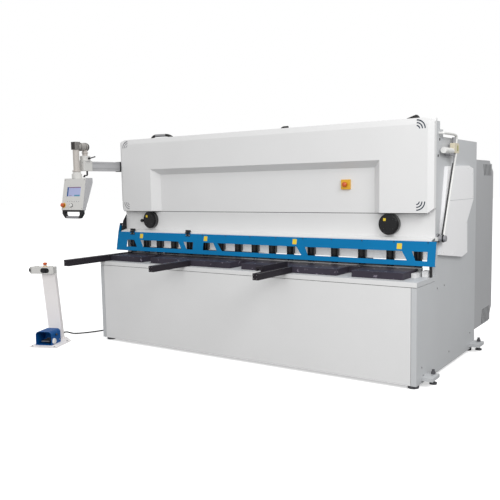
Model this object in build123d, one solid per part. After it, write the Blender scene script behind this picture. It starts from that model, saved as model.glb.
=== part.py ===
from build123d import *
import math
import os

# Lengths are in millimetres. X runs along the machine, Y from front to rear and Z up.
# A depth is measured backwards from the front face of the base.
ANCHOR_PITCH_Y = 1290
ANCHOR_FRONT_DEPTH = 195
FRONT_FACE_Y = -ANCHOR_PITCH_Y / 2 - ANCHOR_FRONT_DEPTH

# Side frames and base
HALF_WIDTH = 1745
ANCHOR_PITCH_X = 2 * (HALF_WIDTH + 50)
FRAME_THICK = 45
INNER_HALF = HALF_WIDTH - FRAME_THICK
FRAME_DEPTH = 1556
FRAME_BOTTOM = 30
FRAME_FRONT = 412
HEAD_STEP_DEPTH = 505
SHOULDER_DEPTH = 583
HEAD_TOP = 2134
HEAD_STEP_TOP = HEAD_TOP - 25
SHOULDER_TOP = HEAD_TOP - 87
REAR_TOP = HEAD_TOP - 146
BED_TOP = 850
BED_PLATE = 43
BED_PLATE_BOTTOM = BED_TOP - BED_PLATE
SHADOW_GAP = 4
PANEL_SHEET = 4
PANEL_SIDE_GAP = 3
BED_WALL_DEPTH = 450
BED_WALL_THICK = 50
BED_FLOOR = 250
RIB_THICK = 20
LUG_REACH = 91
LUG_LENGTH = 170
LUG_TOP = 82
LUG_THICK = 30
ANCHOR_HOLE_R = 14
LEVEL_SCREW_R = 12
LEVEL_OFFSET = 50

# Table and blades
TABLE_THICK = 55
TABLE_TOP = BED_TOP + TABLE_THICK
TABLE_LEFT = -1672
TABLE_RIGHT = 1600
TABLE_FRONT = 85
TABLE_REAR = 415
HAND_GAPS = [(-1226, -1100), (-99, 34), (1015, 1153)]
HAND_GAP_REAR = 325
CUT_DEPTH = 475
BLADE_HALF = 1620
LOWER_BLADE_THICK = 25
LOWER_BLADE_HEIGHT = 80
BLADE_CLEARANCE = 0.4
ARM_HEIGHT = 55
ARM_FRONT = -450

# Swing beam: pivot, blade line and stroke
PIVOT_DEPTH = 1400
PIVOT_HEIGHT = TABLE_TOP
SHAFT_R = 55
BUSH_WALL = 10
EDGE_RADIUS = PIVOT_DEPTH - CUT_DEPTH - BLADE_CLEARANCE
OPENING = 18
RAKE = 85
LEAN = math.tan(math.radians(8.4))
UPPER_BLADE_THICK = 25
UPPER_BLADE_HEIGHT = 80
CARRIER_THICK = 45
BEAM_TOP = 1545
ARM_PLATE = 50
ARM_GAP = 10
PAD_HEIGHT = 1330
PAD_THICK = 50

# Press and return cylinders
PRESS_X = INNER_HALF - 140
BOX_HALF = PRESS_X - 120
PRESS_DEPTH = 620
PRESS_R = 95
RAM_R = 55
RAM_GAP = 0.4
CROSSBEAM_BOTTOM = 1780
RETURN_X = INNER_HALF - 50
RETURN_DEPTH = 800
RETURN_R = 38
RETURN_RAM_R = 20
RETURN_PAD_HEIGHT = 1000
CONTACT_GAP = 0.3

# Hold-down row and finger guard
HOLD_DOWN_X = [-1637, -1442, -1253, -1050, -836, -632, -431, -220, -21, 178, 377, 597, 837, 1101, 1363, 1605]
HOLD_DOWN_DEPTH = 400
HOLD_DOWN_R = 35
PLUNGER_R = 20
FOOT_R = 30
FOOT_BOTTOM = TABLE_TOP + 13.5
GUARD_HALF = HALF_WIDTH + 42
GUARD_SEAM = -651
GUARD_TOP = (318, 1143)
GUARD_BOTTOM = (280, 945)
WINDOW_TOP = 1060
WINDOW_BOTTOM = 985
FLAP_WINDOWS = [(-1639, -1534, 0, 50), (-1445, -909, 50, 50), (-842, -710, 50, 0)]
MAIN_WINDOWS = [(-580, -454, 0, 50), (-407, 498, 65, 59), (585, 1503, 38, 49), (1587, 1721, 36, 0)]
HINGE_AXIS = (314, 1152)
HINGE_SPANS = [(-1597, -1535), (-817, -759)]

# Head cover and front panel
HEAD_FACE = 330
HEAD_HALF = HALF_WIDTH + 5
HEAD_BEVEL_WIDTH = 45
HEAD_BEVEL_DEPTH = 30
HEAD_BOTTOM = 1370
HEAD_SHEET = 4
RECESS_OUTER = (1293, 1810)
RECESS_INNER = (1218, 1753)
PANEL_FRONT = 408
PANEL_FOOT = 1172
LEDGE_FRONT = 323.5
LEDGE_TOP = 1152
CAP_X = 1360
CAP_HEIGHT = 1275
CAP_R = 91
STOP_X = 950
STOP_HEIGHT = 1613
STOP_BOX = 86


def depth(t):
    """Y of a point that lies t behind the front face of the base."""
    return FRONT_FACE_Y + t


def block(x, t, z):
    """Box between pairs of X, depth and Z."""
    centre = (sum(x) / 2, depth(sum(t) / 2), sum(z) / 2)
    return Pos(*centre) * Box(x[1] - x[0], t[1] - t[0], z[1] - z[0])


def prism_x(points, x0, x1):
    """Outline of (depth, Z) points drawn out along X."""
    outline = Polyline(*[(depth(t), z) for t, z in points], close=True)
    return extrude(Plane.YZ.offset(x0) * make_face(outline), x1 - x0)


def prism_y(points, t0, t1):
    """Outline of (X, Z) points drawn out along the depth."""
    outline = Polyline(*points, close=True)
    return extrude(Plane.XZ.offset(-depth(t1)) * make_face(outline), t1 - t0)


def prism_z(points, z0, z1):
    """Outline of (X, depth) points drawn out along Z."""
    outline = Polyline(*[(x, depth(t)) for x, t in points], close=True)
    return extrude(Plane.XY.offset(z0) * make_face(outline), z1 - z0)


def bar_x(radius, x0, x1, t, z):
    return Pos((x0 + x1) / 2, depth(t), z) * Rot(0, 90, 0) * Cylinder(radius, x1 - x0)


def bar_y(radius, x, t0, t1, z):
    return Pos(x, depth((t0 + t1) / 2), z) * Rot(90, 0, 0) * Cylinder(radius, t1 - t0)


def bar_z(radius, x, t, z0, z1):
    return Pos(x, depth(t), (z0 + z1) / 2) * Cylinder(radius, z1 - z0)


def ball(radius, x, t, z):
    return Pos(x, depth(t), z) * Sphere(radius)


def fuse(pieces):
    """One solid from pieces that touch or overlap."""
    whole = pieces[0]
    for piece in pieces[1:]:
        whole = whole + piece
    return whole


def group(pieces):
    """Separate solids that share one node."""
    return Compound(children=[Part() + piece for piece in pieces])


def mirrored(piece):
    """The same piece on the other side of the machine."""
    return mirror(piece, about=Plane.YZ)


# Side frames with their anchor lugs
def left_side_frame():
    outline = [(0, FRAME_BOTTOM), (FRAME_DEPTH, FRAME_BOTTOM), (FRAME_DEPTH, REAR_TOP),
               (SHOULDER_DEPTH, REAR_TOP), (SHOULDER_DEPTH, SHOULDER_TOP), (HEAD_STEP_DEPTH, SHOULDER_TOP),
               (HEAD_STEP_DEPTH, HEAD_STEP_TOP), (FRAME_FRONT, HEAD_STEP_TOP),
               (FRAME_FRONT, BED_PLATE_BOTTOM), (0, BED_PLATE_BOTTOM)]
    frame = prism_x(outline, -HALF_WIDTH, -INNER_HALF)
    for centre in (ANCHOR_FRONT_DEPTH, ANCHOR_FRONT_DEPTH + ANCHOR_PITCH_Y):
        span = (centre - LUG_LENGTH / 2, centre + LUG_LENGTH / 2)
        frame += block((-HALF_WIDTH - LUG_REACH, -HALF_WIDTH), span, (LUG_TOP - LUG_THICK, LUG_TOP))
        frame -= bar_z(ANCHOR_HOLE_R, -ANCHOR_PITCH_X / 2, centre, 0, LUG_TOP + 1)
        frame -= bar_z(LEVEL_SCREW_R, -ANCHOR_PITCH_X / 2, centre + LEVEL_OFFSET, 0, LUG_TOP + 1)
    frame -= bar_x(SHAFT_R, -INNER_HALF - 35, -INNER_HALF, PIVOT_DEPTH, PIVOT_HEIGHT)
    return frame


# Levelling feet: a threaded foot beside each anchor hole and a pad under each frame corner
def levelling_feet():
    feet = []
    for side in (-1, 1):
        for centre in (ANCHOR_FRONT_DEPTH, ANCHOR_FRONT_DEPTH + ANCHOR_PITCH_Y):
            x = side * ANCHOR_PITCH_X / 2
            t = centre + LEVEL_OFFSET
            foot = bar_z(30, x, t, 0, 14) + bar_z(LEVEL_SCREW_R, x, t, 10, 120)
            foot += extrude(Pos(x, depth(t), LUG_TOP) * RegularPolygon(19, 6), 20)
            foot += extrude(Pos(x, depth(t), LUG_TOP - LUG_THICK - 16) * RegularPolygon(19, 6), 16)
            feet.append(foot)
        for t in (70, FRAME_DEPTH - 70):
            feet.append(bar_z(45, side * (HALF_WIDTH - 50), t, 0, FRAME_BOTTOM))
    return group(feet)


# Bed weldment: bed plate, rear wall, floor, ribs and the bar that the lower blade is bolted to
def bed():
    plate = block((-HALF_WIDTH, HALF_WIDTH), (0, FRAME_FRONT), (BED_PLATE_BOTTOM, BED_TOP))
    groove = (BED_PLATE_BOTTOM, BED_PLATE_BOTTOM + SHADOW_GAP)
    plate -= block((-HALF_WIDTH, HALF_WIDTH), (0, 6), groove)
    for side in (-1, 1):
        edge = sorted((side * HALF_WIDTH, side * (HALF_WIDTH - 6)))
        plate -= block(edge, (0, FRAME_FRONT), groove)
    inside = (-INNER_HALF, INNER_HALF)
    wall = (BED_WALL_DEPTH - BED_WALL_THICK, BED_WALL_DEPTH)
    pieces = [plate, block(inside, wall, (BED_FLOOR, BED_TOP)),
              block(inside, (60, BED_WALL_DEPTH), (BED_FLOOR - 30, BED_FLOOR)),
              block((-BLADE_HALF, BLADE_HALF), (TABLE_REAR, BED_WALL_DEPTH), (BED_TOP, TABLE_TOP))]
    for x in (-1100, -550, 0, 550, 1100):
        span = (x - RIB_THICK / 2, x + RIB_THICK / 2)
        pieces.append(block(span, (PANEL_SHEET, wall[0]), (BED_FLOOR, BED_PLATE_BOTTOM)))
    return fuse(pieces)


def base_front_panel():
    half = INNER_HALF - PANEL_SIDE_GAP
    top = BED_PLATE_BOTTOM
    panel = block((-half, half), (0, 34), (FRAME_BOTTOM, top))
    panel -= block((-half + PANEL_SHEET, half - PANEL_SHEET), (PANEL_SHEET, 34), (FRAME_BOTTOM + PANEL_SHEET, top))
    return panel


# Table plates with hand gaps, lower blade
def table_top():
    table = block((TABLE_LEFT, TABLE_RIGHT), (TABLE_FRONT, TABLE_REAR), (BED_TOP, TABLE_TOP))
    for gap in HAND_GAPS:
        table -= block(gap, (TABLE_FRONT, HAND_GAP_REAR), (BED_TOP, TABLE_TOP))
    return table


def lower_blade():
    blade = (BED_WALL_DEPTH, BED_WALL_DEPTH + LOWER_BLADE_THICK)
    return block((-BLADE_HALF, BLADE_HALF), blade, (TABLE_TOP - LOWER_BLADE_HEIGHT, TABLE_TOP))


# Arms: an extrusion with a T-slot along its top and one along its outer side
def slotted_arm(x0, x1, t0, t1, top):
    arm = block((x0, x1), (t0, t1), (BED_TOP, top))
    middle = (x0 + x1) / 2
    arm -= block((middle - 5, middle + 5), (t0, t1), (top - 8, top))
    arm -= block((middle - 11, middle + 11), (t0, t1), (top - 18, top - 8))
    height = (BED_TOP + top) / 2
    arm -= block((x0, x0 + 8), (t0, t1), (height - 5, height + 5))
    arm -= block((x0 + 8, x0 + 15), (t0, t1), (height - 11, height + 11))
    return arm


def squaring_arm():
    return slotted_arm(-1740, TABLE_LEFT, -490, FRAME_FRONT, TABLE_TOP + 7)


RAIL_X = (525, 537)
RAIL_SPAN = (-330, TABLE_FRONT)
RAIL_TOP = TABLE_TOP + 45
STOP_PIVOT = (512, 935)
STOP_SPAN = (-320, -290)


def support_arms():
    arms = [slotted_arm(x, x + ARM_HEIGHT, ARM_FRONT, TABLE_FRONT, TABLE_TOP) for x in (-625, 525)]
    rail = block(RAIL_X, RAIL_SPAN, (TABLE_TOP, RAIL_TOP))
    x, z = STOP_PIVOT
    for ear in ((STOP_SPAN[0] - 9, STOP_SPAN[0] - 1), (STOP_SPAN[1] + 1, STOP_SPAN[1] + 9)):
        rail += block((x - 12, RAIL_X[0]), ear, (z - 12, z + 12))
    rail += bar_y(5, x, STOP_SPAN[0] - 9, STOP_SPAN[1] + 9, z)
    return group(arms + [rail])


def flip_stop():
    x, z = STOP_PIVOT
    stop = bar_y(12, x, *STOP_SPAN, z) + block((x - 45, x), STOP_SPAN, (z - 12, z + 6))
    stop += block((x - 45, x - 28), STOP_SPAN, (TABLE_TOP + 3, z))
    return stop - bar_y(5.4, x, *STOP_SPAN, z)


# Rear and upper members between the side frames
def crossbeam(t, z, wall):
    outer = block((-INNER_HALF, INNER_HALF), t, z)
    return outer - block((-INNER_HALF, INNER_HALF), (t[0] + wall, t[1] - wall), (z[0] + wall, z[1] - wall))


UPPER_BEAM_DEPTH = (520, 720)
REAR_BEAM_DEPTH = (1300, 1500)
STRETCHER_TOP = 225


def crossbeams():
    front = crossbeam(UPPER_BEAM_DEPTH, (CROSSBEAM_BOTTOM, CROSSBEAM_BOTTOM + 200), 15)
    rear = crossbeam(REAR_BEAM_DEPTH, (1650, 1930), 12)
    stretcher = crossbeam((1400, 1500), (60, STRETCHER_TOP), 10)
    return group([front, rear, stretcher])


TANK_X = (-650, 250)
TANK_Z = (1690, 1960)


def oil_tank():
    span = (UPPER_BEAM_DEPTH[1], REAR_BEAM_DEPTH[0])
    tank = block(TANK_X, span, TANK_Z)
    tank -= block((TANK_X[0] + 5, TANK_X[1] - 5), (span[0] + 5, span[1] - 5), (TANK_Z[0] + 5, TANK_Z[1] - 5))
    tank += block((-250, 50), (900, 1060), (TANK_Z[1], TANK_Z[1] + 90))
    tank += bar_z(40, -480, 1150, TANK_Z[1], TANK_Z[1] + 45)
    for x in (-190, -100, -10):
        tank += bar_z(24, x, 980, TANK_Z[1] + 90, TANK_Z[1] + 150)
    return tank


def pump_motor():
    start = TANK_X[1]
    motor = bar_x(100, start, start + 100, 1000, 1830) + bar_x(125, start + 100, start + 430, 1000, 1830)
    motor += bar_x(118, start + 430, start + 500, 1000, 1830)
    return motor + block((start + 180, start + 300), (960, 1040), (1930, 1985))


CHUTE_TOP = 705


def scrap_chute():
    rear = 1400
    outline = [(BED_WALL_DEPTH, CHUTE_TOP), (rear, STRETCHER_TOP + 4), (1520, STRETCHER_TOP + 4),
               (1520, STRETCHER_TOP), (rear - 1, STRETCHER_TOP), (BED_WALL_DEPTH, CHUTE_TOP - 5)]
    return prism_x(outline, -1590, 1590)


# Head cover: a folded sheet with an inverted U face, open at the back
def head_form(wall):
    half = HEAD_HALF - wall
    face = HEAD_FACE + wall
    side = face + HEAD_BEVEL_DEPTH
    shoulder = half - HEAD_BEVEL_WIDTH
    plan = [(-shoulder, face), (shoulder, face), (half, side), (half, PANEL_FRONT),
            (-half, PANEL_FRONT), (-half, side)]
    form = prism_z(plan, HEAD_BOTTOM + wall, HEAD_TOP - wall)
    outer_x, outer_z = RECESS_OUTER[0] + wall, RECESS_OUTER[1] + wall
    inner_x, inner_z = RECESS_INNER[0] + wall, RECESS_INNER[1] + wall
    low = HEAD_BOTTOM - 50
    near = Polyline((-outer_x, low), (outer_x, low), (outer_x, outer_z), (-outer_x, outer_z), close=True)
    far = Polyline((-inner_x, low), (inner_x, low), (inner_x, inner_z), (-inner_x, inner_z), close=True)
    front = Plane.XZ.offset(-depth(face)) * make_face(near)
    back = Plane.XZ.offset(-depth(PANEL_FRONT)) * make_face(far)
    form -= loft([front, back])
    for side_sign in (-1, 1):
        for z, width, height in ((HEAD_BOTTOM + wall, 45, 38), (HEAD_TOP - wall, 85, -30)):
            corner = [(side_sign * half, z), (side_sign * (half - width), z), (side_sign * half, z + height)]
            form -= prism_y(corner, face - 1, PANEL_FRONT)
    bevel = [(face, HEAD_TOP - wall - 50), (face, HEAD_TOP - wall), (face + 11, HEAD_TOP - wall)]
    return form - prism_x(bevel, -half, half)


def head_cover():
    cover = head_form(0) - head_form(HEAD_SHEET)
    roof = block((-HEAD_HALF + 85, HEAD_HALF - 85), (PANEL_FRONT - 10, HEAD_STEP_DEPTH), (HEAD_TOP - HEAD_SHEET, HEAD_TOP))
    seat = block((-HALF_WIDTH, HALF_WIDTH), (PANEL_FRONT + PANEL_SHEET, 440), (HEAD_STEP_TOP, HEAD_TOP - HEAD_SHEET))
    return cover + roof + seat


# Main front panel, folded forwards at its foot into the ledge that carries the guard
def front_panel():
    face, back = PANEL_FRONT, PANEL_FRONT + PANEL_SHEET
    outline = [(back, HEAD_STEP_TOP), (face, HEAD_STEP_TOP), (face, PANEL_FOOT), (LEDGE_FRONT, LEDGE_TOP),
               (LEDGE_FRONT, 1128), (LEDGE_FRONT + 4, 1128), (LEDGE_FRONT + 4, LEDGE_TOP - 3), (back, PANEL_FOOT - 4)]
    panel = prism_x(outline, -HALF_WIDTH, HALF_WIDTH)
    half = STOP_BOX / 2
    box = block((STOP_X - half, STOP_X + half), (face - 18, face), (STOP_HEIGHT - half, STOP_HEIGHT + half))
    return panel + box - bar_y(8.4, STOP_X, face - 18, back, STOP_HEIGHT)


def panel_estop():
    stem = bar_y(8, STOP_X, PANEL_FRONT - 40, PANEL_FRONT - 6, STOP_HEIGHT)
    return stem + bar_y(21, STOP_X, PANEL_FRONT - 44, PANEL_FRONT - 26, STOP_HEIGHT)


def round_caps():
    caps = []
    for x in (-CAP_X, CAP_X):
        cap = bar_y(CAP_R, x, PANEL_FRONT - 40, PANEL_FRONT, CAP_HEIGHT)
        cap += bar_y(CAP_R - 12, x, PANEL_FRONT - 48, PANEL_FRONT - 40, CAP_HEIGHT)
        caps.append(cap)
    x = -CAP_X - CAP_R - 16
    caps[0] += bar_y(14, x, PANEL_FRONT - 40, PANEL_FRONT, CAP_HEIGHT - 9)
    caps[0] += block((x, x + 24), (PANEL_FRONT - 20, PANEL_FRONT), (CAP_HEIGHT - 15, CAP_HEIGHT - 3))
    return group(caps)


# Hold-down beam, cylinders and plungers
def hold_down_beam():
    return block((-INNER_HALF, INNER_HALF), (HOLD_DOWN_DEPTH + HOLD_DOWN_R, 465), (975, 1300))


def hold_down_cylinders():
    cylinders = []
    for x in HOLD_DOWN_X:
        body = bar_z(HOLD_DOWN_R, x, HOLD_DOWN_DEPTH, 965, 1125)
        body += block((x - 30, x + 30), (HOLD_DOWN_DEPTH, HOLD_DOWN_DEPTH + HOLD_DOWN_R), (985, 1105))
        cylinders.append(body - bar_z(PLUNGER_R + RAM_GAP, x, HOLD_DOWN_DEPTH, 965, 1075))
    return group(cylinders)


def hold_down_plungers():
    return group([bar_z(PLUNGER_R, x, HOLD_DOWN_DEPTH, FOOT_BOTTOM + 10, 1055)
                  + bar_z(FOOT_R, x, HOLD_DOWN_DEPTH, FOOT_BOTTOM, FOOT_BOTTOM + 16) for x in HOLD_DOWN_X])


# Finger guard: an inclined plate with windows, its left end a hinged flap
def guard_plate(x0, x1, windows):
    (top_t, top_z), (low_t, low_z) = GUARD_TOP, GUARD_BOTTOM
    outline = [(top_t, top_z), (low_t, low_z), (low_t + 22, low_z - 4), (low_t + 23, low_z + 1),
               (low_t + 6, low_z + 4), (top_t + 5, top_z - 1)]
    plate = prism_x(outline, x0, x1)
    for left, right, left_slant, right_slant in windows:
        hole = [(left, WINDOW_TOP), (right, WINDOW_TOP), (right + right_slant, WINDOW_BOTTOM),
                (left + left_slant, WINDOW_BOTTOM)]
        plate -= prism_y(hole, low_t - 20, top_t + 30)
    return plate


def guard_main():
    return guard_plate(GUARD_SEAM + 1, GUARD_HALF, MAIN_WINDOWS)


def guard_flap():
    flap = guard_plate(-GUARD_HALF, GUARD_SEAM, FLAP_WINDOWS)
    t, z = HINGE_AXIS
    for x0, x1 in HINGE_SPANS:
        for span in ((x0, x0 + 18), (x1 - 18, x1)):
            flap += bar_x(7, *span, t, z) + block(span, (t, t + 6), (GUARD_TOP[1] - 8, z))
            flap -= bar_x(3.8, *span, t, z)
    return flap


def guard_hinges():
    hinges = []
    t, z = HINGE_AXIS
    for x0, x1 in HINGE_SPANS:
        middle = (x0 + 19, x1 - 19)
        slope = (PANEL_FOOT - LEDGE_TOP) / (PANEL_FRONT - LEDGE_FRONT)
        far = LEDGE_FRONT + 34
        leaf = [(LEDGE_FRONT, LEDGE_TOP), (far, LEDGE_TOP + 34 * slope), (far, LEDGE_TOP + 34 * slope + 5),
                (t, z + 7), (t, z)]
        hinges.append(prism_x(leaf, *middle) + bar_x(7, *middle, t, z) + bar_x(3.5, x0, x1, t, z))
    plate = [(330, 1150), (360, 1262), (440, 1366), (444, 1177)]
    bracket = prism_x(plate, -HALF_WIDTH - 6, -HALF_WIDTH)
    wing = bar_x(6, -HALF_WIDTH - 34, -HALF_WIDTH - 6, 360, 1225)
    wing += block((-HALF_WIDTH - 34, -HALF_WIDTH - 26), (340, 380), (1217, 1233))
    return group(hinges + [bracket + wing])


# Press and return cylinders with their rams
def beam_cylinders():
    press = bar_z(PRESS_R, PRESS_X, PRESS_DEPTH, 1430, CROSSBEAM_BOTTOM - 25)
    press += bar_z(PRESS_R + 15, PRESS_X, PRESS_DEPTH, CROSSBEAM_BOTTOM - 25, CROSSBEAM_BOTTOM)
    press -= bar_z(RAM_R + RAM_GAP, PRESS_X, PRESS_DEPTH, 1430, CROSSBEAM_BOTTOM - 35)
    lift = bar_z(RETURN_R, RETURN_X, RETURN_DEPTH, 500, 850)
    lift += block((RETURN_X, INNER_HALF), (RETURN_DEPTH - 30, RETURN_DEPTH + 30), (520, 620))
    lift -= bar_z(RETURN_RAM_R + RAM_GAP, RETURN_X, RETURN_DEPTH, 615, 850)
    return group([press, mirrored(press), lift, mirrored(lift)])


def press_rams():
    centre = PAD_HEIGHT + 40 + CONTACT_GAP
    ram = bar_z(RAM_R, PRESS_X, PRESS_DEPTH, centre + 30, 1735) + bar_z(30, PRESS_X, PRESS_DEPTH, centre, centre + 30)
    ram += ball(40, PRESS_X, PRESS_DEPTH, centre)
    return group([ram, mirrored(ram)])


def return_rams():
    centre = RETURN_PAD_HEIGHT - 25 - CONTACT_GAP
    ram = bar_z(RETURN_RAM_R, RETURN_X, RETURN_DEPTH, 700, centre) + ball(25, RETURN_X, RETURN_DEPTH, centre)
    return group([ram, mirrored(ram)])


def pivot_shafts():
    shaft = bar_x(SHAFT_R, INNER_HALF - 75, INNER_HALF + 35, PIVOT_DEPTH, PIVOT_HEIGHT)
    return group([shaft, mirrored(shaft)])


# Blade line of the swing beam: its edge keeps one radius from the pivot at both ends
def edge_point(x):
    share = (x + BLADE_HALF) / (2 * BLADE_HALF)
    left_depth = PIVOT_DEPTH - math.sqrt(EDGE_RADIUS ** 2 - OPENING ** 2)
    right_depth = PIVOT_DEPTH - math.sqrt(EDGE_RADIUS ** 2 - (OPENING + RAKE) ** 2)
    return left_depth + share * (right_depth - left_depth), TABLE_TOP + OPENING + share * RAKE


def along_blade(points, x0, x1):
    """Section of (depth, Z) offsets from the cutting edge, drawn out along the blade line."""
    t0, z0 = edge_point(x0)
    t1, z1 = edge_point(x1)
    outline = Polyline(*[(depth(t0 + t), z0 + z) for t, z in points], close=True)
    way = Vector(x1 - x0, t1 - t0, z1 - z0)
    return extrude(Plane.YZ.offset(x0) * make_face(outline), way.length, dir=way)


def upper_blade():
    top = UPPER_BLADE_HEIGHT
    section = [(0, 0), (LEAN * top, top), (LEAN * top + UPPER_BLADE_THICK, top), (UPPER_BLADE_THICK, 0)]
    return along_blade(section, -BLADE_HALF, BLADE_HALF)


ARM_OUTER = INNER_HALF - ARM_GAP


def swing_beam():
    top = UPPER_BLADE_HEIGHT
    seat = 10
    high = BEAM_TOP + 150 - TABLE_TOP
    section = [(UPPER_BLADE_THICK + LEAN * seat, seat), (UPPER_BLADE_THICK + LEAN * top, top), (LEAN * top, top),
               (LEAN * high, high), (LEAN * high + CARRIER_THICK, high),
               (UPPER_BLADE_THICK + LEAN * seat + CARRIER_THICK, seat)]
    beam = along_blade(section, -ARM_OUTER, ARM_OUTER)
    beam -= block((-ARM_OUTER - 50, ARM_OUTER + 50), (400, 900), (BEAM_TOP, BEAM_TOP + 500))
    for side in (-1, 1):
        corner = sorted((side * BOX_HALF, side * (ARM_OUTER + 50)))
        beam -= block(corner, (400, 900), (PAD_HEIGHT, BEAM_TOP))
    skin = [(548, 1020), (900, 1300), (900, BEAM_TOP), (600, BEAM_TOP)]
    core = [(565, 1058), (880, 1308), (880, BEAM_TOP - 20), (625, BEAM_TOP - 20)]
    beam += prism_x(skin, -BOX_HALF, BOX_HALF) - prism_x(core, -BOX_HALF + 15, BOX_HALF - 15)
    for x in (-900, -300, 300, 900):
        beam += prism_x(skin, x - 7.5, x + 7.5)
    boss = (PIVOT_DEPTH, PIVOT_HEIGHT)
    arm = [(570, 1010), (760, RETURN_PAD_HEIGHT), (850, RETURN_PAD_HEIGHT), (1330, 840), (1400, 810), (1480, 850),
           (1500, 905), (1480, 985), (1400, 1020), (1000, PAD_HEIGHT), (575, PAD_HEIGHT)]
    for side in (-1, 1):
        plate = sorted((side * ARM_OUTER, side * (ARM_OUTER - ARM_PLATE)))
        hub = sorted((side * (ARM_OUTER + 5), side * (ARM_OUTER - ARM_PLATE - 10)))
        pad = sorted((side * 1480, side * (ARM_OUTER - ARM_PLATE)))
        web = sorted((side * (BOX_HALF - 15), side * (ARM_OUTER - ARM_PLATE)))
        beam += prism_x(arm, *plate) + bar_x(SHAFT_R + BUSH_WALL + 45, *hub, *boss)
        beam += block(pad, (570, 690), (PAD_HEIGHT - PAD_THICK, PAD_HEIGHT))
        beam += block(web, (600, 900), (PAD_HEIGHT - PAD_THICK - 20, PAD_HEIGHT - PAD_THICK))
        beam -= bar_x(SHAFT_R + BUSH_WALL, *hub, *boss)
    return beam


def pivot_bushes():
    span = (ARM_OUTER - ARM_PLATE - 10, ARM_OUTER + 5)
    bush = bar_x(SHAFT_R + BUSH_WALL, *span, PIVOT_DEPTH, PIVOT_HEIGHT)
    bush -= bar_x(SHAFT_R + 0.06, *span, PIVOT_DEPTH, PIVOT_HEIGHT)
    return group([bush, mirrored(bush)])


# Back gauge: guides under the swing beam, saddles with the gauge bar, and two screws
GUIDE_X = 900
GUIDE_BOTTOM = 1060
GUIDE_FRONT = 560
GUIDE_REAR = 1490
SCREW_Z = 1030
SCREW_R = 15
JOURNAL_R = 10
SADDLE_T = (850, 990)
GAUGE_BAR_T = (750, 800)


def gauge_guides(beam):
    guides = []
    low, mid, high = GUIDE_BOTTOM, GUIDE_BOTTOM + 25, GUIDE_BOTTOM + 60
    for x in (-GUIDE_X, GUIDE_X):
        rail = [(x - 30, low), (x + 30, low), (x + 30, mid), (x + 15, mid), (x + 15, high),
                (x - 15, high), (x - 15, mid), (x - 30, mid)]
        guide = prism_y(rail, GUIDE_FRONT, GUIDE_REAR)
        guide += prism_x([(600, high), (900, high), (900, 1330), (600, 1330)], x - 10, x + 10)
        for span in ((604, 626), (1468, GUIDE_REAR)):
            guide += block((x - 30, x + 30), span, (SCREW_Z - 25, low))
            guide -= bar_y(JOURNAL_R + 0.06, x, *span, SCREW_Z)
        guides.append((guide - beam).solids().sort_by(SortBy.VOLUME)[-1])
    return group(guides)


def gauge_screw(x):
    return bar_y(SCREW_R, x, 627, 1467, SCREW_Z) + bar_y(JOURNAL_R, x, 606, 1488, SCREW_Z)


def back_gauge():
    low, mid = GUIDE_BOTTOM - 0.5, GUIDE_BOTTOM + 25.5
    gauge = block((-1500, 1500), GAUGE_BAR_T, (860, 925))
    for x in (-GUIDE_X, GUIDE_X):
        saddle = [(-45, 860), (45, 860), (45, mid + 10), (15.5, mid + 10), (15.5, mid), (30.5, mid), (30.5, low),
                  (-30.5, low), (-30.5, mid), (-15.5, mid), (-15.5, mid + 10), (-45, mid + 10)]
        gauge += prism_y([(x + dx, z) for dx, z in saddle], *SADDLE_T)
        gauge += block((x - 45, x + 45), (GAUGE_BAR_T[1], SADDLE_T[0]), (860, 925))
        gauge -= bar_y(SCREW_R + RAM_GAP, x, *SADDLE_T, SCREW_Z)
    return gauge


# Side covers over the pivot linkage
COVER_OUT = HALF_WIDTH + 30
COVER_OUTLINE = [(626, 1748), (1217, 1762), (1353, 1738), (1369, 1457), (1183, 1262), (1196, 978),
                 (1040, 952), (466, 1022)]


def side_cover():
    outer = prism_x(COVER_OUTLINE, HALF_WIDTH, COVER_OUT)
    face = make_face(Polyline(*[(depth(t), z) for t, z in COVER_OUTLINE], close=True))
    inner = extrude(Plane.YZ.offset(HALF_WIDTH) * offset(face, -3), COVER_OUT - HALF_WIDTH - 3)
    return outer - inner


# Gap drive on the right side: conduit, gearmotor, block, rod and lower fitting
DRIVE_X = HALF_WIDTH + 38


def gap_drive():
    x = DRIVE_X
    motor = bar_y(25, x, 485, 730, 1875) + block((HALF_WIDTH, x), (500, 540), (1860, 1890))
    motor += block((HALF_WIDTH, x + 34), (728, 920), (1863, 1936))
    points = [(HALF_WIDTH, depth(492), 2005), (x, depth(492), 2005), (x, depth(709), 2014), (x, depth(850), 2000),
              (x, depth(862), 1930)]
    conduit = sweep(Plane(points[0], z_dir=(1, 0, 0)) * Circle(11), path=FilletPolyline(*points, radius=30))
    rod_x = HALF_WIDTH + 55
    start = Vector(rod_x, depth(767), 1870)
    end = Vector(rod_x, depth(460), 1172)
    rod = Solid.extrude(Plane(start, z_dir=end - start) * Face(Wire(Edge.make_circle(9))), end - start)
    fitting = bar_x(38, HALF_WIDTH, HALF_WIDTH + 14, 450, 1160) + bar_x(26, HALF_WIDTH, HALF_WIDTH + 75, 450, 1160)
    return Part() + motor + conduit + rod + fitting


# Rear cabinets: louvred sheet boxes, the right one with a door on its rear face
CABINET_X = (HALF_WIDTH - 350, HALF_WIDTH)
CABINET_OUTLINE = [(1556, 190), (2054, 190), (2161, 329), (2161, 1715), (2016, 1824), (1556, 1824)]
CABINET_SHEET = 3
DOOR_Z = (345, 1700)
HANDLE_Z = 1020
DOOR_HINGES = (480, 1560)
DOOR_PIN_R = 5.5


def louvres():
    slots = []
    for count, t0, z0, z1 in ((9, 1790, 1680, 1780), (8, 1790, 205, 345)):
        for index in range(count):
            t = t0 + 34 * index
            slots.append(prism_x([(t, z0), (t + 12, z0), (t + 42, z1), (t + 30, z1)], HALF_WIDTH - 10, HALF_WIDTH + 1))
    return slots


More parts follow.
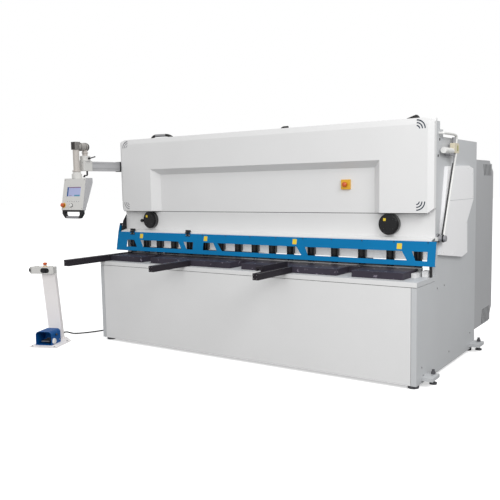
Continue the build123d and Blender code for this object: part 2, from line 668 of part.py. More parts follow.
def electrical_cabinet():
    x0, x1 = CABINET_X
    cabinet = prism_x(CABINET_OUTLINE, x0, x1)
    face = make_face(Polyline(*[(depth(t), z) for t, z in CABINET_OUTLINE], close=True))
    cabinet -= extrude(Plane.YZ.offset(x0 + CABINET_SHEET) * offset(face, -CABINET_SHEET), x1 - x0 - 2 * CABINET_SHEET)
    cabinet -= block((x0 + 20, x1 - 20), (2140, 2170), (DOOR_Z[0] + 15, DOOR_Z[1] - 15))
    for slot in louvres():
        cabinet -= slot
    for z in DOOR_HINGES:
        cabinet += bar_z(DOOR_PIN_R, x0 - 6, 2163, z, z + 50) + block((x0 - 6, x0), (2150, 2160), (z, z + 50))
    return cabinet


def cabinet_door():
    x0, x1 = CABINET_X
    door = block((x0, x1), (2161.3, 2164.3), DOOR_Z)
    for z in DOOR_HINGES:
        door += bar_z(DOOR_PIN_R, x0 - 6, 2163, z + 50.5, z + 90)
        door += block((x0 - 6, x0 + 2), (2161.3, 2164.3), (z + 50.5, z + 90))
    return door - bar_y(8.4, x1 - 40, 2155, 2170, HANDLE_Z)


def door_handle():
    x = CABINET_X[1] - 40
    handle = bar_y(8, x, 2150, 2172, HANDLE_Z) + bar_y(14, x, 2164.6, 2174, HANDLE_Z)
    return handle + block((x - 9, x + 9), (2172, 2184), (HANDLE_Z - 95, HANDLE_Z + 12))


def left_rear_enclosure():
    outer = prism_x(CABINET_OUTLINE, -CABINET_X[1], -CABINET_X[0])
    face = make_face(Polyline(*[(depth(t), z) for t, z in CABINET_OUTLINE], close=True))
    span = CABINET_X[1] - CABINET_X[0] - 2 * CABINET_SHEET
    outer -= extrude(Plane.YZ.offset(-CABINET_X[1] + CABINET_SHEET) * offset(face, -CABINET_SHEET), span)
    for slot in louvres():
        outer -= mirrored(slot)
    return outer


# Top hoses: a hose hump from the left press cylinder and elbows behind the head
def top_hoses():
    z = CROSSBEAM_BOTTOM + 200
    hoses = []
    route = [(-1480, 650, z), (-1480, 650, 2190), (-1250, 690, 2190), (-1100, 760, z)]
    points = [(x, depth(t), h) for x, t, h in route]
    path = FilletPolyline(*points, radius=50)
    hose = sweep(Plane(points[0], z_dir=(0, 0, 1)) * Circle(15), path=path)
    hoses.append(hose + bar_z(22, -1480, 650, z, z + 60))
    for x in (150, 1430):
        elbow = bar_z(16, x, 640, z, 2165) + ball(20, x, 640, 2168) + bar_x(16, x, x + 70, 640, 2168)
        hoses.append(elbow)
    return group(hoses)


# Pendant: arm on the left frame, elbow that swivels on it, box that swivels under the elbow
ARM_X = -HALF_WIDTH - 55
ARM_HALF = 35
ARM_Z = (1803, 1901)
ARM_TIP = -162
POST_T = -104
TUBE_T = -223
COLLAR_TOP = 1958
BOX_X = (ARM_X - 138, ARM_X + 185)
BOX_TOP = 1727
BOX_BOTTOM = 1406
BOX_TOP_FACE = -270
BOX_LOW_FACE = -330


def pendant_bracket():
    cap = block((ARM_X - ARM_HALF - 5, ARM_X + ARM_HALF + 5), (FRAME_FRONT - 52, FRAME_FRONT), (ARM_Z[0] - 5, ARM_Z[1] + 5))
    cap -= block((ARM_X - ARM_HALF, ARM_X + ARM_HALF), (FRAME_FRONT - 52, FRAME_FRONT - 10), ARM_Z)
    foot = block((ARM_X - ARM_HALF - 5, -HALF_WIDTH), (FRAME_FRONT, FRAME_FRONT + 60), (ARM_Z[0] - 5, ARM_Z[1] + 5))
    plate = block((-HALF_WIDTH - 12, -HALF_WIDTH), (FRAME_FRONT, FRAME_FRONT + 140), (ARM_Z[0] - 45, ARM_Z[1] + 45))
    return cap + foot + plate


def pendant_arm():
    x0, x1 = ARM_X - ARM_HALF, ARM_X + ARM_HALF
    arm = block((x0, x1), (ARM_TIP + 40, FRAME_FRONT - 10), ARM_Z)
    for z in (1826, 1878):
        for side in (x0, x1 - 4):
            arm -= block((side, side + 4), (ARM_TIP + 100, FRAME_FRONT - 52), (z - 5, z + 5))
    arm += block((x0 - 3, x1 + 3), (ARM_TIP, POST_T + 60), (ARM_Z[0], ARM_Z[1] + 6))
    arm += bar_z(52, ARM_X, POST_T, ARM_Z[1], COLLAR_TOP)
    return arm - bar_z(20.4, ARM_X, POST_T, ARM_Z[0] + 30, COLLAR_TOP)


def pendant_elbow():
    elbow = bar_z(27, ARM_X, POST_T, COLLAR_TOP + 0.5, 2060) + bar_z(20, ARM_X, POST_T, ARM_Z[0] + 35, COLLAR_TOP + 1)
    elbow += bar_y(42, ARM_X, TUBE_T + 10, POST_T + 14, 2050)
    elbow += bar_y(38, ARM_X, POST_T + 14, POST_T + 30, 2050)
    corner = block((ARM_X - 38, ARM_X + 38), (TUBE_T - 38, TUBE_T + 38), (2020, 2098))
    elbow += fillet(corner.edges().filter_by(Axis.Z), 18)
    elbow += bar_z(32, ARM_X, TUBE_T, 1791, 2030)
    return elbow - bar_z(20.4, ARM_X, TUBE_T, 1791, 1850)


def pendant_box():
    lower = BOX_BOTTOM
    outline = [(BOX_TOP_FACE, BOX_TOP), (BOX_LOW_FACE, lower), (BOX_LOW_FACE + 40, lower - 7),
               (BOX_TOP_FACE + 88, BOX_TOP - 50), (BOX_TOP_FACE + 88, BOX_TOP)]
    box = prism_x(outline, *BOX_X)
    box += bar_z(52, ARM_X, TUBE_T, BOX_TOP, 1772) + bar_z(42, ARM_X, TUBE_T, 1772, 1790.5)
    box += bar_z(20, ARM_X, TUBE_T, 1780, 1845)
    box -= screen_space(2)
    for x in (ESTOP_X, SELECTOR_X):
        box -= on_box_face(x, BUTTON_Z, Cylinder(8.4, 40))
    return box


ESTOP_X = ARM_X - 105
SELECTOR_X = ARM_X + 10
BUTTON_Z = 1452
FACE_TILT = math.degrees(math.atan2(BOX_TOP_FACE - BOX_LOW_FACE, BOX_TOP - BOX_BOTTOM))


def on_box_face(x, z, piece):
    """Puts a piece on the leaning front face of the box, its Z axis pointing out of it."""
    share = (z - BOX_BOTTOM) / (BOX_TOP - BOX_BOTTOM)
    t = BOX_LOW_FACE + share * (BOX_TOP_FACE - BOX_LOW_FACE)
    return Pos(x, depth(t), z) * Rot(90 - FACE_TILT, 0, 0) * piece


def screen_space(deep):
    return on_box_face(-1775, 1585, Pos(0, 0, -deep / 2) * Box(205, 150, deep))


def pendant_estop():
    button = Pos(0, 0, 6) * Cylinder(8, 30) + Pos(0, 0, 22) * Cylinder(20, 16)
    return on_box_face(ESTOP_X, BUTTON_Z, button)


def pendant_selector():
    knob = Pos(0, 0, 0) * Cylinder(8, 24) + Pos(0, 0, 9) * Cylinder(16, 14) + Pos(0, 0, 20) * Box(9, 30, 10)
    return on_box_face(SELECTOR_X, BUTTON_Z, knob)


def pendant_handle(box):
    drop = BOX_BOTTOM + 9
    t0, t1 = BOX_LOW_FACE + 4, BOX_LOW_FACE + 36
    x0, x1 = BOX_X[0] + 20, BOX_X[1] - 20
    outline = [(x0 - 10, drop), (x1 + 10, drop), (x1 + 10, drop - 50), (x1 - 30, drop - 95),
               (x0 + 30, drop - 95), (x0 - 10, drop - 50)]
    window = [(x0 + 32, drop - 29), (x1 - 32, drop - 29), (x1 - 32, drop - 58), (x1 - 48, drop - 74),
              (x0 + 48, drop - 74), (x0 + 32, drop - 58)]
    return prism_y(outline, t0, t1) - prism_y(window, t0, t1) - box


# Clamp levers of the pendant arm
def collar_lever():
    hub_x = ARM_X + 52
    lever = bar_x(10, hub_x + 0.3, hub_x + 22, POST_T, 1932)
    arm = [(POST_T, 1926), (POST_T + 62, 1942), (POST_T + 62, 1952), (POST_T, 1938)]
    return lever + prism_x(arm, hub_x + 11, hub_x + 21)


def arm_lever():
    t = POST_T + 20
    lever = bar_z(9, ARM_X, t, ARM_Z[0] - 40, ARM_Z[0] - 0.3)
    return lever + block((ARM_X - 6, ARM_X + 6), (t - 42, t), (ARM_Z[0] - 52, ARM_Z[0] - 40))


# Pedestal, turned towards the operator; u runs along its front, v backwards
PEDESTAL_CORNER = (-2151, -661)
PEDESTAL_TURN = 22
PLATE_SIZE = (310, 330)
PLATE_REAR = 480
PLATE_THICK = 8
COLUMN_U = 96
COLUMN_V = 425
COLUMN_WIDTH = 153
COLUMN_THICK = 45
COLUMN_HEIGHT = 733
COLUMN_LEAN = 105


def on_pedestal(piece):
    return Pos(PEDESTAL_CORNER[0], depth(PEDESTAL_CORNER[1]), 0) * Rot(0, 0, PEDESTAL_TURN) * piece


def uv_block(u, v, z):
    return Pos(sum(u) / 2, sum(v) / 2, sum(z) / 2) * Box(u[1] - u[0], v[1] - v[0], z[1] - z[0])


def pedestal_stand():
    width, square = PLATE_SIZE
    left, right = COLUMN_U - COLUMN_WIDTH / 2, COLUMN_U + COLUMN_WIDTH / 2
    outline = Polyline((0, 0), (width, 0), (width, square), (right + 8, PLATE_REAR), (left - 8, PLATE_REAR),
                       (0, square), close=True)
    plate = extrude(make_face(outline), PLATE_THICK)
    near, far = COLUMN_V - COLUMN_THICK / 2, COLUMN_V + COLUMN_THICK / 2
    side = Polyline((near, PLATE_THICK), (far, PLATE_THICK), (far - COLUMN_LEAN, COLUMN_HEIGHT),
                    (near - COLUMN_LEAN, COLUMN_HEIGHT), close=True)
    column = extrude(Plane.YZ.offset(left) * make_face(side), COLUMN_WIDTH)
    return on_pedestal(plate + column)


CONSOLE_U = (COLUMN_U - 200, COLUMN_U + 76)
CONSOLE_V = (COLUMN_V - COLUMN_LEAN - 70, COLUMN_V - COLUMN_LEAN + 25)
CONSOLE_Z = (COLUMN_HEIGHT, COLUMN_HEIGHT + 70)
MUSHROOM_UV = (CONSOLE_U[0] + 165, CONSOLE_V[0] + 55)
PALM_R = 22


def pedestal_console():
    (u0, u1), (v0, v1), (z0, z1) = CONSOLE_U, CONSOLE_V, CONSOLE_Z
    plan = Polyline((u0 + 40, v0), (u1 - 25, v0), (u1, v0 + 20), (u1, v1), (u0 + 30, v1), (u0, v0 + 55), (u0, v0 + 30),
                    close=True)
    console = extrude(Pos(0, 0, z0) * make_face(plan), z1 - z0)
    console += Pos(*MUSHROOM_UV, z1 + 8) * Cylinder(17, 16)
    for u in (u0 + 62, u1 - 55):
        console += Pos(u, v0 + 62, z1 + 3) * Box(48, 22, 6)
    console -= Pos(*MUSHROOM_UV, z1) * Cylinder(8.4, 60)
    console -= Pos(u0, v0 + 42, (z0 + z1) / 2) * Rot(0, 90, 0) * Cylinder(PALM_R + 0.5, 80)
    console -= Pos(u1 - 100, v0, (z0 + z1) / 2) * Rot(90, 0, 0) * Cylinder(PALM_R + 0.5, 60)
    return on_pedestal(console)


def pedestal_estop():
    z = CONSOLE_Z[1]
    button = Pos(*MUSHROOM_UV, z + 10) * Cylinder(8, 50) + Pos(*MUSHROOM_UV, z + 31) * Cylinder(21, 18)
    return on_pedestal(button)


def left_palm_button():
    z = sum(CONSOLE_Z) / 2
    button = Pos(CONSOLE_U[0] + 12, CONSOLE_V[0] + 42, z) * Rot(0, 90, 0) * Cylinder(PALM_R, 40)
    return on_pedestal(button)


def right_palm_button():
    z = sum(CONSOLE_Z) / 2
    button = Pos(CONSOLE_U[1] - 100, CONSOLE_V[0] + 7, z) * Rot(90, 0, 0) * Cylinder(PALM_R, 34)
    return on_pedestal(button)


GUARD_U = (40, 220)
GUARD_V = (85, 275)
GUARD_HIGH = 150
GUARD_WALL = 4
PEDAL_AXIS_Z = 40


def foot_guard():
    (u0, u1), (v0, v1) = GUARD_U, GUARD_V
    hood = uv_block((u0, u1), (v0, v1), (PLATE_THICK, GUARD_HIGH))
    hood = fillet(hood.edges().filter_by(Axis.Y).group_by(Axis.Z)[-1], 38)
    inside = uv_block((u0 + GUARD_WALL, u1 - GUARD_WALL), (v0, v1 - GUARD_WALL), (PLATE_THICK + 3, GUARD_HIGH - GUARD_WALL))
    inside = fillet(inside.edges().filter_by(Axis.Y).group_by(Axis.Z)[-1], 34)
    hood -= inside
    hood += Pos((u0 + u1) / 2, v1 - 30, PEDAL_AXIS_Z) * Rot(0, 90, 0) * Cylinder(5, u1 - u0)
    return on_pedestal(hood)


def foot_pedal():
    (u0, u1), (v0, v1) = GUARD_U, GUARD_V
    middle = (u0 + u1) / 2
    pedal = uv_block((middle - 45, middle + 45), (v0 + 35, v1 - 30), (PEDAL_AXIS_Z - 4, PEDAL_AXIS_Z + 6))
    pedal += Pos(middle, v1 - 30, PEDAL_AXIS_Z) * Rot(0, 90, 0) * Cylinder(12, 90)
    return on_pedestal(pedal - Pos(middle, v1 - 30, PEDAL_AXIS_Z) * Rot(0, 90, 0) * Cylinder(5.4, 90))


# Control cord from the pedestal to the left side of the base
CORD_R = 7.5
CORD_ROUTE = [(-2183, -171, 58), (-2199, -131, 57), (-2216, -76, 40), (-2214, -22, 16), (-2192, 34, 8),
              (-2148, 95, 8), (-2105, 170, 8), (-2066, 275, 8), (-2040, 390, 8), (-1990, 500, 8),
              (-1920, 582, 10), (-1862, 632, 34), (-1816, 650, 70), (-1773, 650, 70)]
GLAND_LENGTH = 28


def fitted_radii(points):
    """Largest arc that each corner's two runs allow."""
    radii = []
    for before, at, after in zip(points, points[1:], points[2:]):
        first = Vector(*at) - Vector(*before)
        second = Vector(*after) - Vector(*at)
        turn = math.radians(first.get_angle(second))
        radii.append(0.45 * min(first.length, second.length) / math.tan(turn / 2))
    return radii


def pedestal_cord():
    points = [(x, depth(t), z) for x, t, z in CORD_ROUTE]
    radii = fitted_radii(points)
    path = FilletPolyline(*points, radius=radii)
    start = Vector(*points[1]) - Vector(*points[0])
    tube = sweep(Plane(points[0], z_dir=start) * Circle(CORD_R), path=path)
    print("cord radii", [round(radius) for radius in radii])
    print("cord length", round(path.length), "volume share", tube.volume / (math.pi * CORD_R ** 2 * path.length))
    return tube


def cord_glands(carriers):
    glands = []
    for here, beyond in ((CORD_ROUTE[0], CORD_ROUTE[1]), (CORD_ROUTE[-1], CORD_ROUTE[-2])):
        tip = Vector(here[0], depth(here[1]), here[2])
        way = (tip - Vector(beyond[0], depth(beyond[1]), beyond[2])).normalized()
        glands.append(Plane(tip + way * GLAND_LENGTH / 2, z_dir=way) * Cylinder(14, GLAND_LENGTH))
    return group([gland - carrier for gland, carrier in zip(glands, carriers)])


def build():
    left = left_side_frame()
    beam = swing_beam()
    box = pendant_box()
    stand = pedestal_stand()
    return {
        "left_side_frame": left, "right_side_frame": mirrored(left), "levelling_feet": levelling_feet(),
        "bed": bed(), "base_front_panel": base_front_panel(), "table_top": table_top(),
        "lower_blade": lower_blade(), "squaring_arm": squaring_arm(), "support_arms": support_arms(),
        "flip_stop": flip_stop(), "crossbeams": crossbeams(),
        "oil_tank": oil_tank(), "pump_motor": pump_motor(), "scrap_chute": scrap_chute(),
        "head_cover": head_cover(), "front_panel": front_panel(), "panel_estop": panel_estop(),
        "round_caps": round_caps(), "hold_down_beam": hold_down_beam(),
        "hold_down_cylinders": hold_down_cylinders(), "hold_down_plungers": hold_down_plungers(),
        "guard_main": guard_main(), "guard_flap": guard_flap(), "guard_hinges": guard_hinges(),
        "beam_cylinders": beam_cylinders(), "press_rams": press_rams(), "return_rams": return_rams(),
        "pivot_shafts": pivot_shafts(), "upper_blade": upper_blade(), "swing_beam": beam,
        "pivot_bushes": pivot_bushes(), "gauge_guides": gauge_guides(beam),
        "left_gauge_screw": gauge_screw(-GUIDE_X), "right_gauge_screw": gauge_screw(GUIDE_X),
        "back_gauge": back_gauge(), "side_covers": group([side_cover(), mirrored(side_cover())]),
        "gap_drive": gap_drive(), "electrical_cabinet": electrical_cabinet(), "cabinet_door": cabinet_door(),
        "door_handle": door_handle(), "left_rear_enclosure": left_rear_enclosure(), "top_hoses": top_hoses(),
        "pendant_bracket": pendant_bracket(), "pendant_arm": pendant_arm(), "pendant_elbow": pendant_elbow(),
        "pendant_box": box, "pendant_estop": pendant_estop(),
        "pendant_selector": pendant_selector(), "pendant_handle": pendant_handle(box),
        "collar_lever": collar_lever(), "arm_lever": arm_lever(), "pedestal_stand": stand,
        "pedestal_console": pedestal_console(), "pedestal_estop": pedestal_estop(),
        "left_palm_button": left_palm_button(), "right_palm_button": right_palm_button(),
        "foot_guard": foot_guard(), "foot_pedal": foot_pedal(), "pedestal_cord": pedestal_cord(),
        "cord_glands": cord_glands([stand, left]),
    }


os.makedirs("parts", exist_ok=True)
for name, shape in build().items():
    export_step(shape, f"parts/{name}.step")
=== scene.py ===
import math

import bmesh
import bpy
from mathutils import Matrix, Vector


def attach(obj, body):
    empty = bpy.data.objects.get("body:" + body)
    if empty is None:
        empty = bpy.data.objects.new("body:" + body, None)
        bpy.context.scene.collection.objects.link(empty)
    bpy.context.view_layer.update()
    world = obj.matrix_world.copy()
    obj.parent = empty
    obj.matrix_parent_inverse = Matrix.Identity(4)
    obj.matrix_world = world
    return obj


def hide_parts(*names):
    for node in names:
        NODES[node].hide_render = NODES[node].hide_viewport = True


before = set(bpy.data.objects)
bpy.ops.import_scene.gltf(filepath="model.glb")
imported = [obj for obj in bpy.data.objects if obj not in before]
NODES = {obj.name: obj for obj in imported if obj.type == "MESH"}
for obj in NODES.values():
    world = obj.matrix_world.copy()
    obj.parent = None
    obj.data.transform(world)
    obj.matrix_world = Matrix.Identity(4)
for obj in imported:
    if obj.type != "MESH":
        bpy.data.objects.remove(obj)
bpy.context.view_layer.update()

# Places are written in millimetres as X, depth behind the base's front face, and height
FRONT_FACE_Y = -840
MM = 0.001


def place(x, depth, height):
    """A point of the frame, in metres."""
    return Vector((x, FRONT_FACE_Y + depth, height)) * MM


def linear(level):
    """Linear value of an sRGB level from 0 to 1."""
    if level <= 0.04045:
        return level / 12.92
    return ((level + 0.055) / 1.055) ** 2.4


def tone(red, green, blue):
    """Linear colour from sRGB levels of 0 to 255."""
    return (linear(red / 255), linear(green / 255), linear(blue / 255), 1)


# Camera
CAMERA_PLACE = Vector((3.5445, -5.6936, 1.6115))
CAMERA_YAW = math.radians(34.612)
CAMERA_PITCH = math.radians(5.501)
CAMERA_ROLL = math.radians(-1.065)
CAMERA_LENS = 47.53
SENSOR = 36


def make_camera():
    data = bpy.data.cameras.new("camera")
    data.sensor_width = SENSOR
    data.lens = CAMERA_LENS
    data.clip_start = 0.1
    data.clip_end = 200
    camera = bpy.data.objects.new("camera", data)
    bpy.context.scene.collection.objects.link(camera)
    forward = Vector((-math.sin(CAMERA_YAW) * math.cos(CAMERA_PITCH),
                      math.cos(CAMERA_YAW) * math.cos(CAMERA_PITCH), -math.sin(CAMERA_PITCH)))
    level = Vector((math.cos(CAMERA_YAW), math.sin(CAMERA_YAW), 0))
    upright = level.cross(forward)
    right = math.cos(CAMERA_ROLL) * level + math.sin(CAMERA_ROLL) * upright
    up = math.cos(CAMERA_ROLL) * upright - math.sin(CAMERA_ROLL) * level
    turn = Matrix((right, up, -forward)).transposed()
    camera.matrix_world = Matrix.Translation(CAMERA_PLACE) @ turn.to_4x4()
    bpy.context.scene.camera = camera


make_camera()


# Materials
def math_node(nodes, links, operation, first, second):
    node = nodes.new("ShaderNodeMath")
    node.operation = operation
    for socket, value in zip(node.inputs, (first, second)):
        if isinstance(value, (int, float)):
            socket.default_value = value
        else:
            links.new(value, socket)
    return node.outputs[0]


def noise_node(nodes, links, place_output, scale, detail=4.0, stretch=None):
    if stretch:
        mapping = nodes.new("ShaderNodeMapping")
        mapping.inputs["Scale"].default_value = stretch
        links.new(place_output, mapping.inputs["Vector"])
        place_output = mapping.outputs["Vector"]
    noise = nodes.new("ShaderNodeTexNoise")
    noise.inputs["Scale"].default_value = scale
    noise.inputs["Detail"].default_value = detail
    links.new(place_output, noise.inputs["Vector"])
    return noise.outputs["Fac"]


def ramp_node(nodes, links, value, low, high, low_colour, high_colour):
    ramp = nodes.new("ShaderNodeValToRGB")
    ramp.color_ramp.elements[0].position = low
    ramp.color_ramp.elements[0].color = low_colour
    ramp.color_ramp.elements[1].position = high
    ramp.color_ramp.elements[1].color = high_colour
    links.new(value, ramp.inputs["Fac"])
    return ramp.outputs["Color"]


def mix_node(nodes, links, factor, first, second):
    mix = nodes.new("ShaderNodeMix")
    mix.data_type = "RGBA"
    links.new(factor, mix.inputs["Factor"])
    for socket, value in ((mix.inputs[6], first), (mix.inputs[7], second)):
        if isinstance(value, tuple):
            socket.default_value = value
        else:
            links.new(value, socket)
    return mix.outputs[2]


def shade(colour, factor):
    return tuple(min(1, part * factor) for part in colour[:3]) + (1,)


MATERIALS = {}


def add_finish(key, name, levels, roughness, edge, metallic=0.0, cloud=0.05, grain=500, bump=0.03,
               worn=0.25, radius=1.5, stretch=None, speck=None, coat=0.0, gloss=0.5, glow=0.0):
    """Keeps a finish: soft clouds, fine grain, a rounded edge and wear along it. Colours are sRGB."""
    colour = tone(*levels)
    material = bpy.data.materials.new(name)
    material.use_nodes = True
    nodes, links = material.node_tree.nodes, material.node_tree.links
    shader = nodes["Principled BSDF"]
    shader.inputs["Metallic"].default_value = metallic
    shader.inputs["Coat Weight"].default_value = coat
    shader.inputs["Specular IOR Level"].default_value = gloss
    # Emission is painted light: a finish given glow lights itself without any lamp
    shader.inputs["Emission Color"].default_value = colour
    shader.inputs["Emission Strength"].default_value = glow
    spot = nodes.new("ShaderNodeTexCoord").outputs["Object"]
    clouds = noise_node(nodes, links, spot, 2.3, 5.0)
    base = ramp_node(nodes, links, clouds, 0.3, 0.7, shade(colour, 1 - cloud), shade(colour, 1 + cloud))
    fine = noise_node(nodes, links, spot, grain, 3.0, stretch)
    if speck:
        dots = noise_node(nodes, links, spot, speck[0], 2.0)
        mask = ramp_node(nodes, links, dots, speck[1], speck[1] + 0.04, (0, 0, 0, 1), (1, 1, 1, 1))
        base = mix_node(nodes, links, mask, base, speck[2])
    bevel = nodes.new("ShaderNodeBevel")
    bevel.samples = 4
    bevel.inputs["Radius"].default_value = radius * MM
    dot = nodes.new("ShaderNodeVectorMath")
    dot.operation = "DOT_PRODUCT"
    links.new(bevel.outputs["Normal"], dot.inputs[0])
    links.new(nodes.new("ShaderNodeNewGeometry").outputs["Normal"], dot.inputs[1])
    rim = math_node(nodes, links, "SUBTRACT", 1.0, dot.outputs["Value"])
    patchy = noise_node(nodes, links, spot, 30, 3.0)
    rim = math_node(nodes, links, "MULTIPLY", rim, patchy)
    rim = math_node(nodes, links, "MULTIPLY", rim, worn * 12)
    rim = math_node(nodes, links, "MINIMUM", rim, worn)
    base = mix_node(nodes, links, rim, base, tone(*edge))
    links.new(base, shader.inputs["Base Color"])
    rough_low = (max(roughness - 0.06, 0.02),) * 3 + (1,)
    rough_high = (min(roughness + 0.08, 1),) * 3 + (1,)
    links.new(ramp_node(nodes, links, fine, 0.3, 0.7, rough_low, rough_high), shader.inputs["Roughness"])
    rise = nodes.new("ShaderNodeBump")
    rise.inputs["Strength"].default_value = bump
    rise.inputs["Distance"].default_value = MM
    links.new(fine, rise.inputs["Height"])
    links.new(bevel.outputs["Normal"], rise.inputs["Normal"])
    links.new(rise.outputs["Normal"], shader.inputs["Normal"])
    MATERIALS[key] = material


COVER = (226, 226, 226)
FRAME_GREY = (196, 198, 200)
GUARD = (0, 116, 172)
TABLE = (58, 54, 64)
PALE_EDGE = (240, 240, 240)
BARE = (150, 150, 150)

add_finish("cover", "cover_paint", COVER, 0.42, PALE_EDGE, cloud=0.012, grain=700, bump=0.05)
add_finish("frame", "frame_paint", FRAME_GREY, 0.45, PALE_EDGE, cloud=0.02, grain=600, bump=0.06)
add_finish("guard", "guard_paint", GUARD, 0.45, (60, 155, 205), grain=600, bump=0.05, gloss=0.12)
add_finish("table", "table_finish", TABLE, 0.5, (120, 116, 126), cloud=0.2, grain=90, bump=0.25, worn=0.5,
           speck=(26, 0.68, tone(120, 114, 126)), gloss=0.15)
add_finish("arm_black", "arm_finish", (40, 36, 42), 0.5, (96, 92, 100), cloud=0.2, grain=200, bump=0.2,
           worn=0.5, gloss=0.2)
# Painted light: the hold-down beam is whiter than the cover paint and glows, lifting the shade inside the
# guard windows
add_finish("inner_white_painted_glow", "inner_white_painted_glow", (246, 246, 246), 0.5, PALE_EDGE, cloud=0.01, bump=0.04, glow=0.22)
add_finish("side_white", "side_white", (246, 246, 247), 0.42, PALE_EDGE, cloud=0.012, grain=700, bump=0.04)
# Painted light: the pedestal column is whitened and glows slightly, lifting its side turned away from the
# key light
add_finish("column_white_painted_glow", "column_white_painted_glow", (244, 240, 239), 0.45, PALE_EDGE, cloud=0.015, grain=600,
           bump=0.04, glow=0.06)
# Painted shade: a darker grey for the pendant box's right side, the side turned from the light
add_finish("pendant_side_painted_shade", "pendant_side_painted_shade", (182, 182, 184), 0.45, PALE_EDGE, cloud=0.02, grain=800,
           bump=0.04)
add_finish("elbow_mid", "elbow_mid", (120, 117, 114), 0.5, BARE, cloud=0.06, grain=400, bump=0.12)
add_finish("pendant", "pendant_paint", (214, 213, 210), 0.4, PALE_EDGE, cloud=0.02, grain=800, bump=0.04)
add_finish("black_plastic", "black_plastic", (24, 23, 26), 0.5, (60, 60, 62), cloud=0.12, bump=0.15)
add_finish("black_steel", "black_steel", (30, 30, 33), 0.42, BARE, metallic=0.4, cloud=0.2, grain=300,
           bump=0.2, worn=0.4)
add_finish("cast", "cast_grey", (92, 92, 96), 0.55, BARE, metallic=0.3, cloud=0.15, grain=260, bump=0.5)
add_finish("steel", "ground_steel", (150, 150, 152), 0.3, (200, 200, 200), metallic=0.95, cloud=0.08,
           grain=60, bump=0.25, stretch=(1, 14, 14))
add_finish("sheet_steel", "sheet_steel", (140, 142, 145), 0.42, (200, 200, 200), metallic=0.8, cloud=0.12,
           grain=80, bump=0.2, stretch=(14, 1, 14))
add_finish("chrome", "ram_chrome", (190, 190, 192), 0.12, (230, 230, 230), metallic=1.0, cloud=0.03,
           grain=300, bump=0.02)
add_finish("bronze", "bush_bronze", (176, 132, 78), 0.35, (220, 190, 130), metallic=0.9, cloud=0.1,
           grain=200, bump=0.1)
add_finish("aluminium", "arm_aluminium", (186, 186, 188), 0.4, (205, 205, 205), metallic=0.3, grain=70,
           bump=0.12, stretch=(14, 1, 14))
add_finish("elbow", "elbow_casting", (196, 190, 184), 0.45, PALE_EDGE, metallic=0.1, cloud=0.04, bump=0.1)
add_finish("elbow_dark", "elbow_cap", (54, 50, 48), 0.5, BARE, cloud=0.1, bump=0.15)
add_finish("elbow_stub", "elbow_stub", (160, 157, 153), 0.45, (190, 186, 180), metallic=0.2, cloud=0.08,
           grain=400, bump=0.12)
add_finish("rubber", "hose_rubber", (34, 33, 34), 0.6, (60, 60, 60), cloud=0.1, grain=700, bump=0.25,
           radius=0.6)
add_finish("stop_red", "stop_red", (206, 90, 34), 0.3, (235, 120, 80), grain=600, bump=0.02, coat=0.4)
add_finish("stop_yellow", "stop_yellow", (226, 172, 40), 0.35, (245, 210, 100), cloud=0.04, grain=600,
           bump=0.02)
add_finish("plate_yellow", "plate_yellow", (232, 200, 50), 0.4, (250, 230, 120))
add_finish("white_plastic", "white_plastic", (226, 226, 224), 0.35, PALE_EDGE, cloud=0.03)
add_finish("ornament", "ornament_blue", (20, 42, 60), 0.5, (60, 90, 110), bump=0.02, gloss=0.1)
add_finish("ornament_grey", "ornament_grey", (150, 150, 154), 0.45, (180, 180, 184), bump=0.02)
add_finish("foot_blue", "foot_blue", (6, 84, 152), 0.45, (70, 130, 190), cloud=0.1, grain=400, bump=0.15,
           gloss=0.2)
add_finish("motor", "motor_paint", (96, 99, 104), 0.5, BARE, cloud=0.08, grain=300, bump=0.2)
add_finish("gloss_black", "gloss_black", (22, 22, 24), 0.22, (70, 70, 74), cloud=0.1, coat=0.3)
# Painted shade: a dark finish put in gaps, grooves and slits where shade falls
add_finish("hollow_painted_shade", "hollow_painted_shade", (30, 31, 34), 0.7, (46, 46, 50), cloud=0.1, grain=300, bump=0.1)
add_finish("zinc_matt", "zinc_matt", (158, 158, 162), 0.5, (205, 205, 205), metallic=0.3, cloud=0.06,
           grain=400, bump=0.1)
add_finish("cream", "cream_paint", (214, 205, 180), 0.45, PALE_EDGE, cloud=0.04, bump=0.05)
add_finish("lime", "lime_stripe", (150, 152, 60), 0.45, (190, 190, 110), cloud=0.06)
add_finish("screen", "screen_glass", (176, 184, 226), 0.12, (190, 198, 230), cloud=0.06, grain=300,
           bump=0.005, coat=0.5)
for screen, levels, edge in (("screen_dark", (52, 92, 150), (90, 120, 170)),
                             ("screen_violet", (142, 116, 146), (170, 150, 176)),
                             ("screen_teal", (84, 148, 178), (130, 176, 196))):
    add_finish(screen, screen, levels, 0.15, edge, grain=300, bump=0.005)
add_finish("cabinet", "cabinet_paint", (178, 179, 181), 0.5, PALE_EDGE, cloud=0.02, grain=600, bump=0.06)
add_finish("zinc", "zinc_fastener", (176, 176, 178), 0.35, (220, 220, 220), metallic=0.85, cloud=0.06,
           bump=0.08)

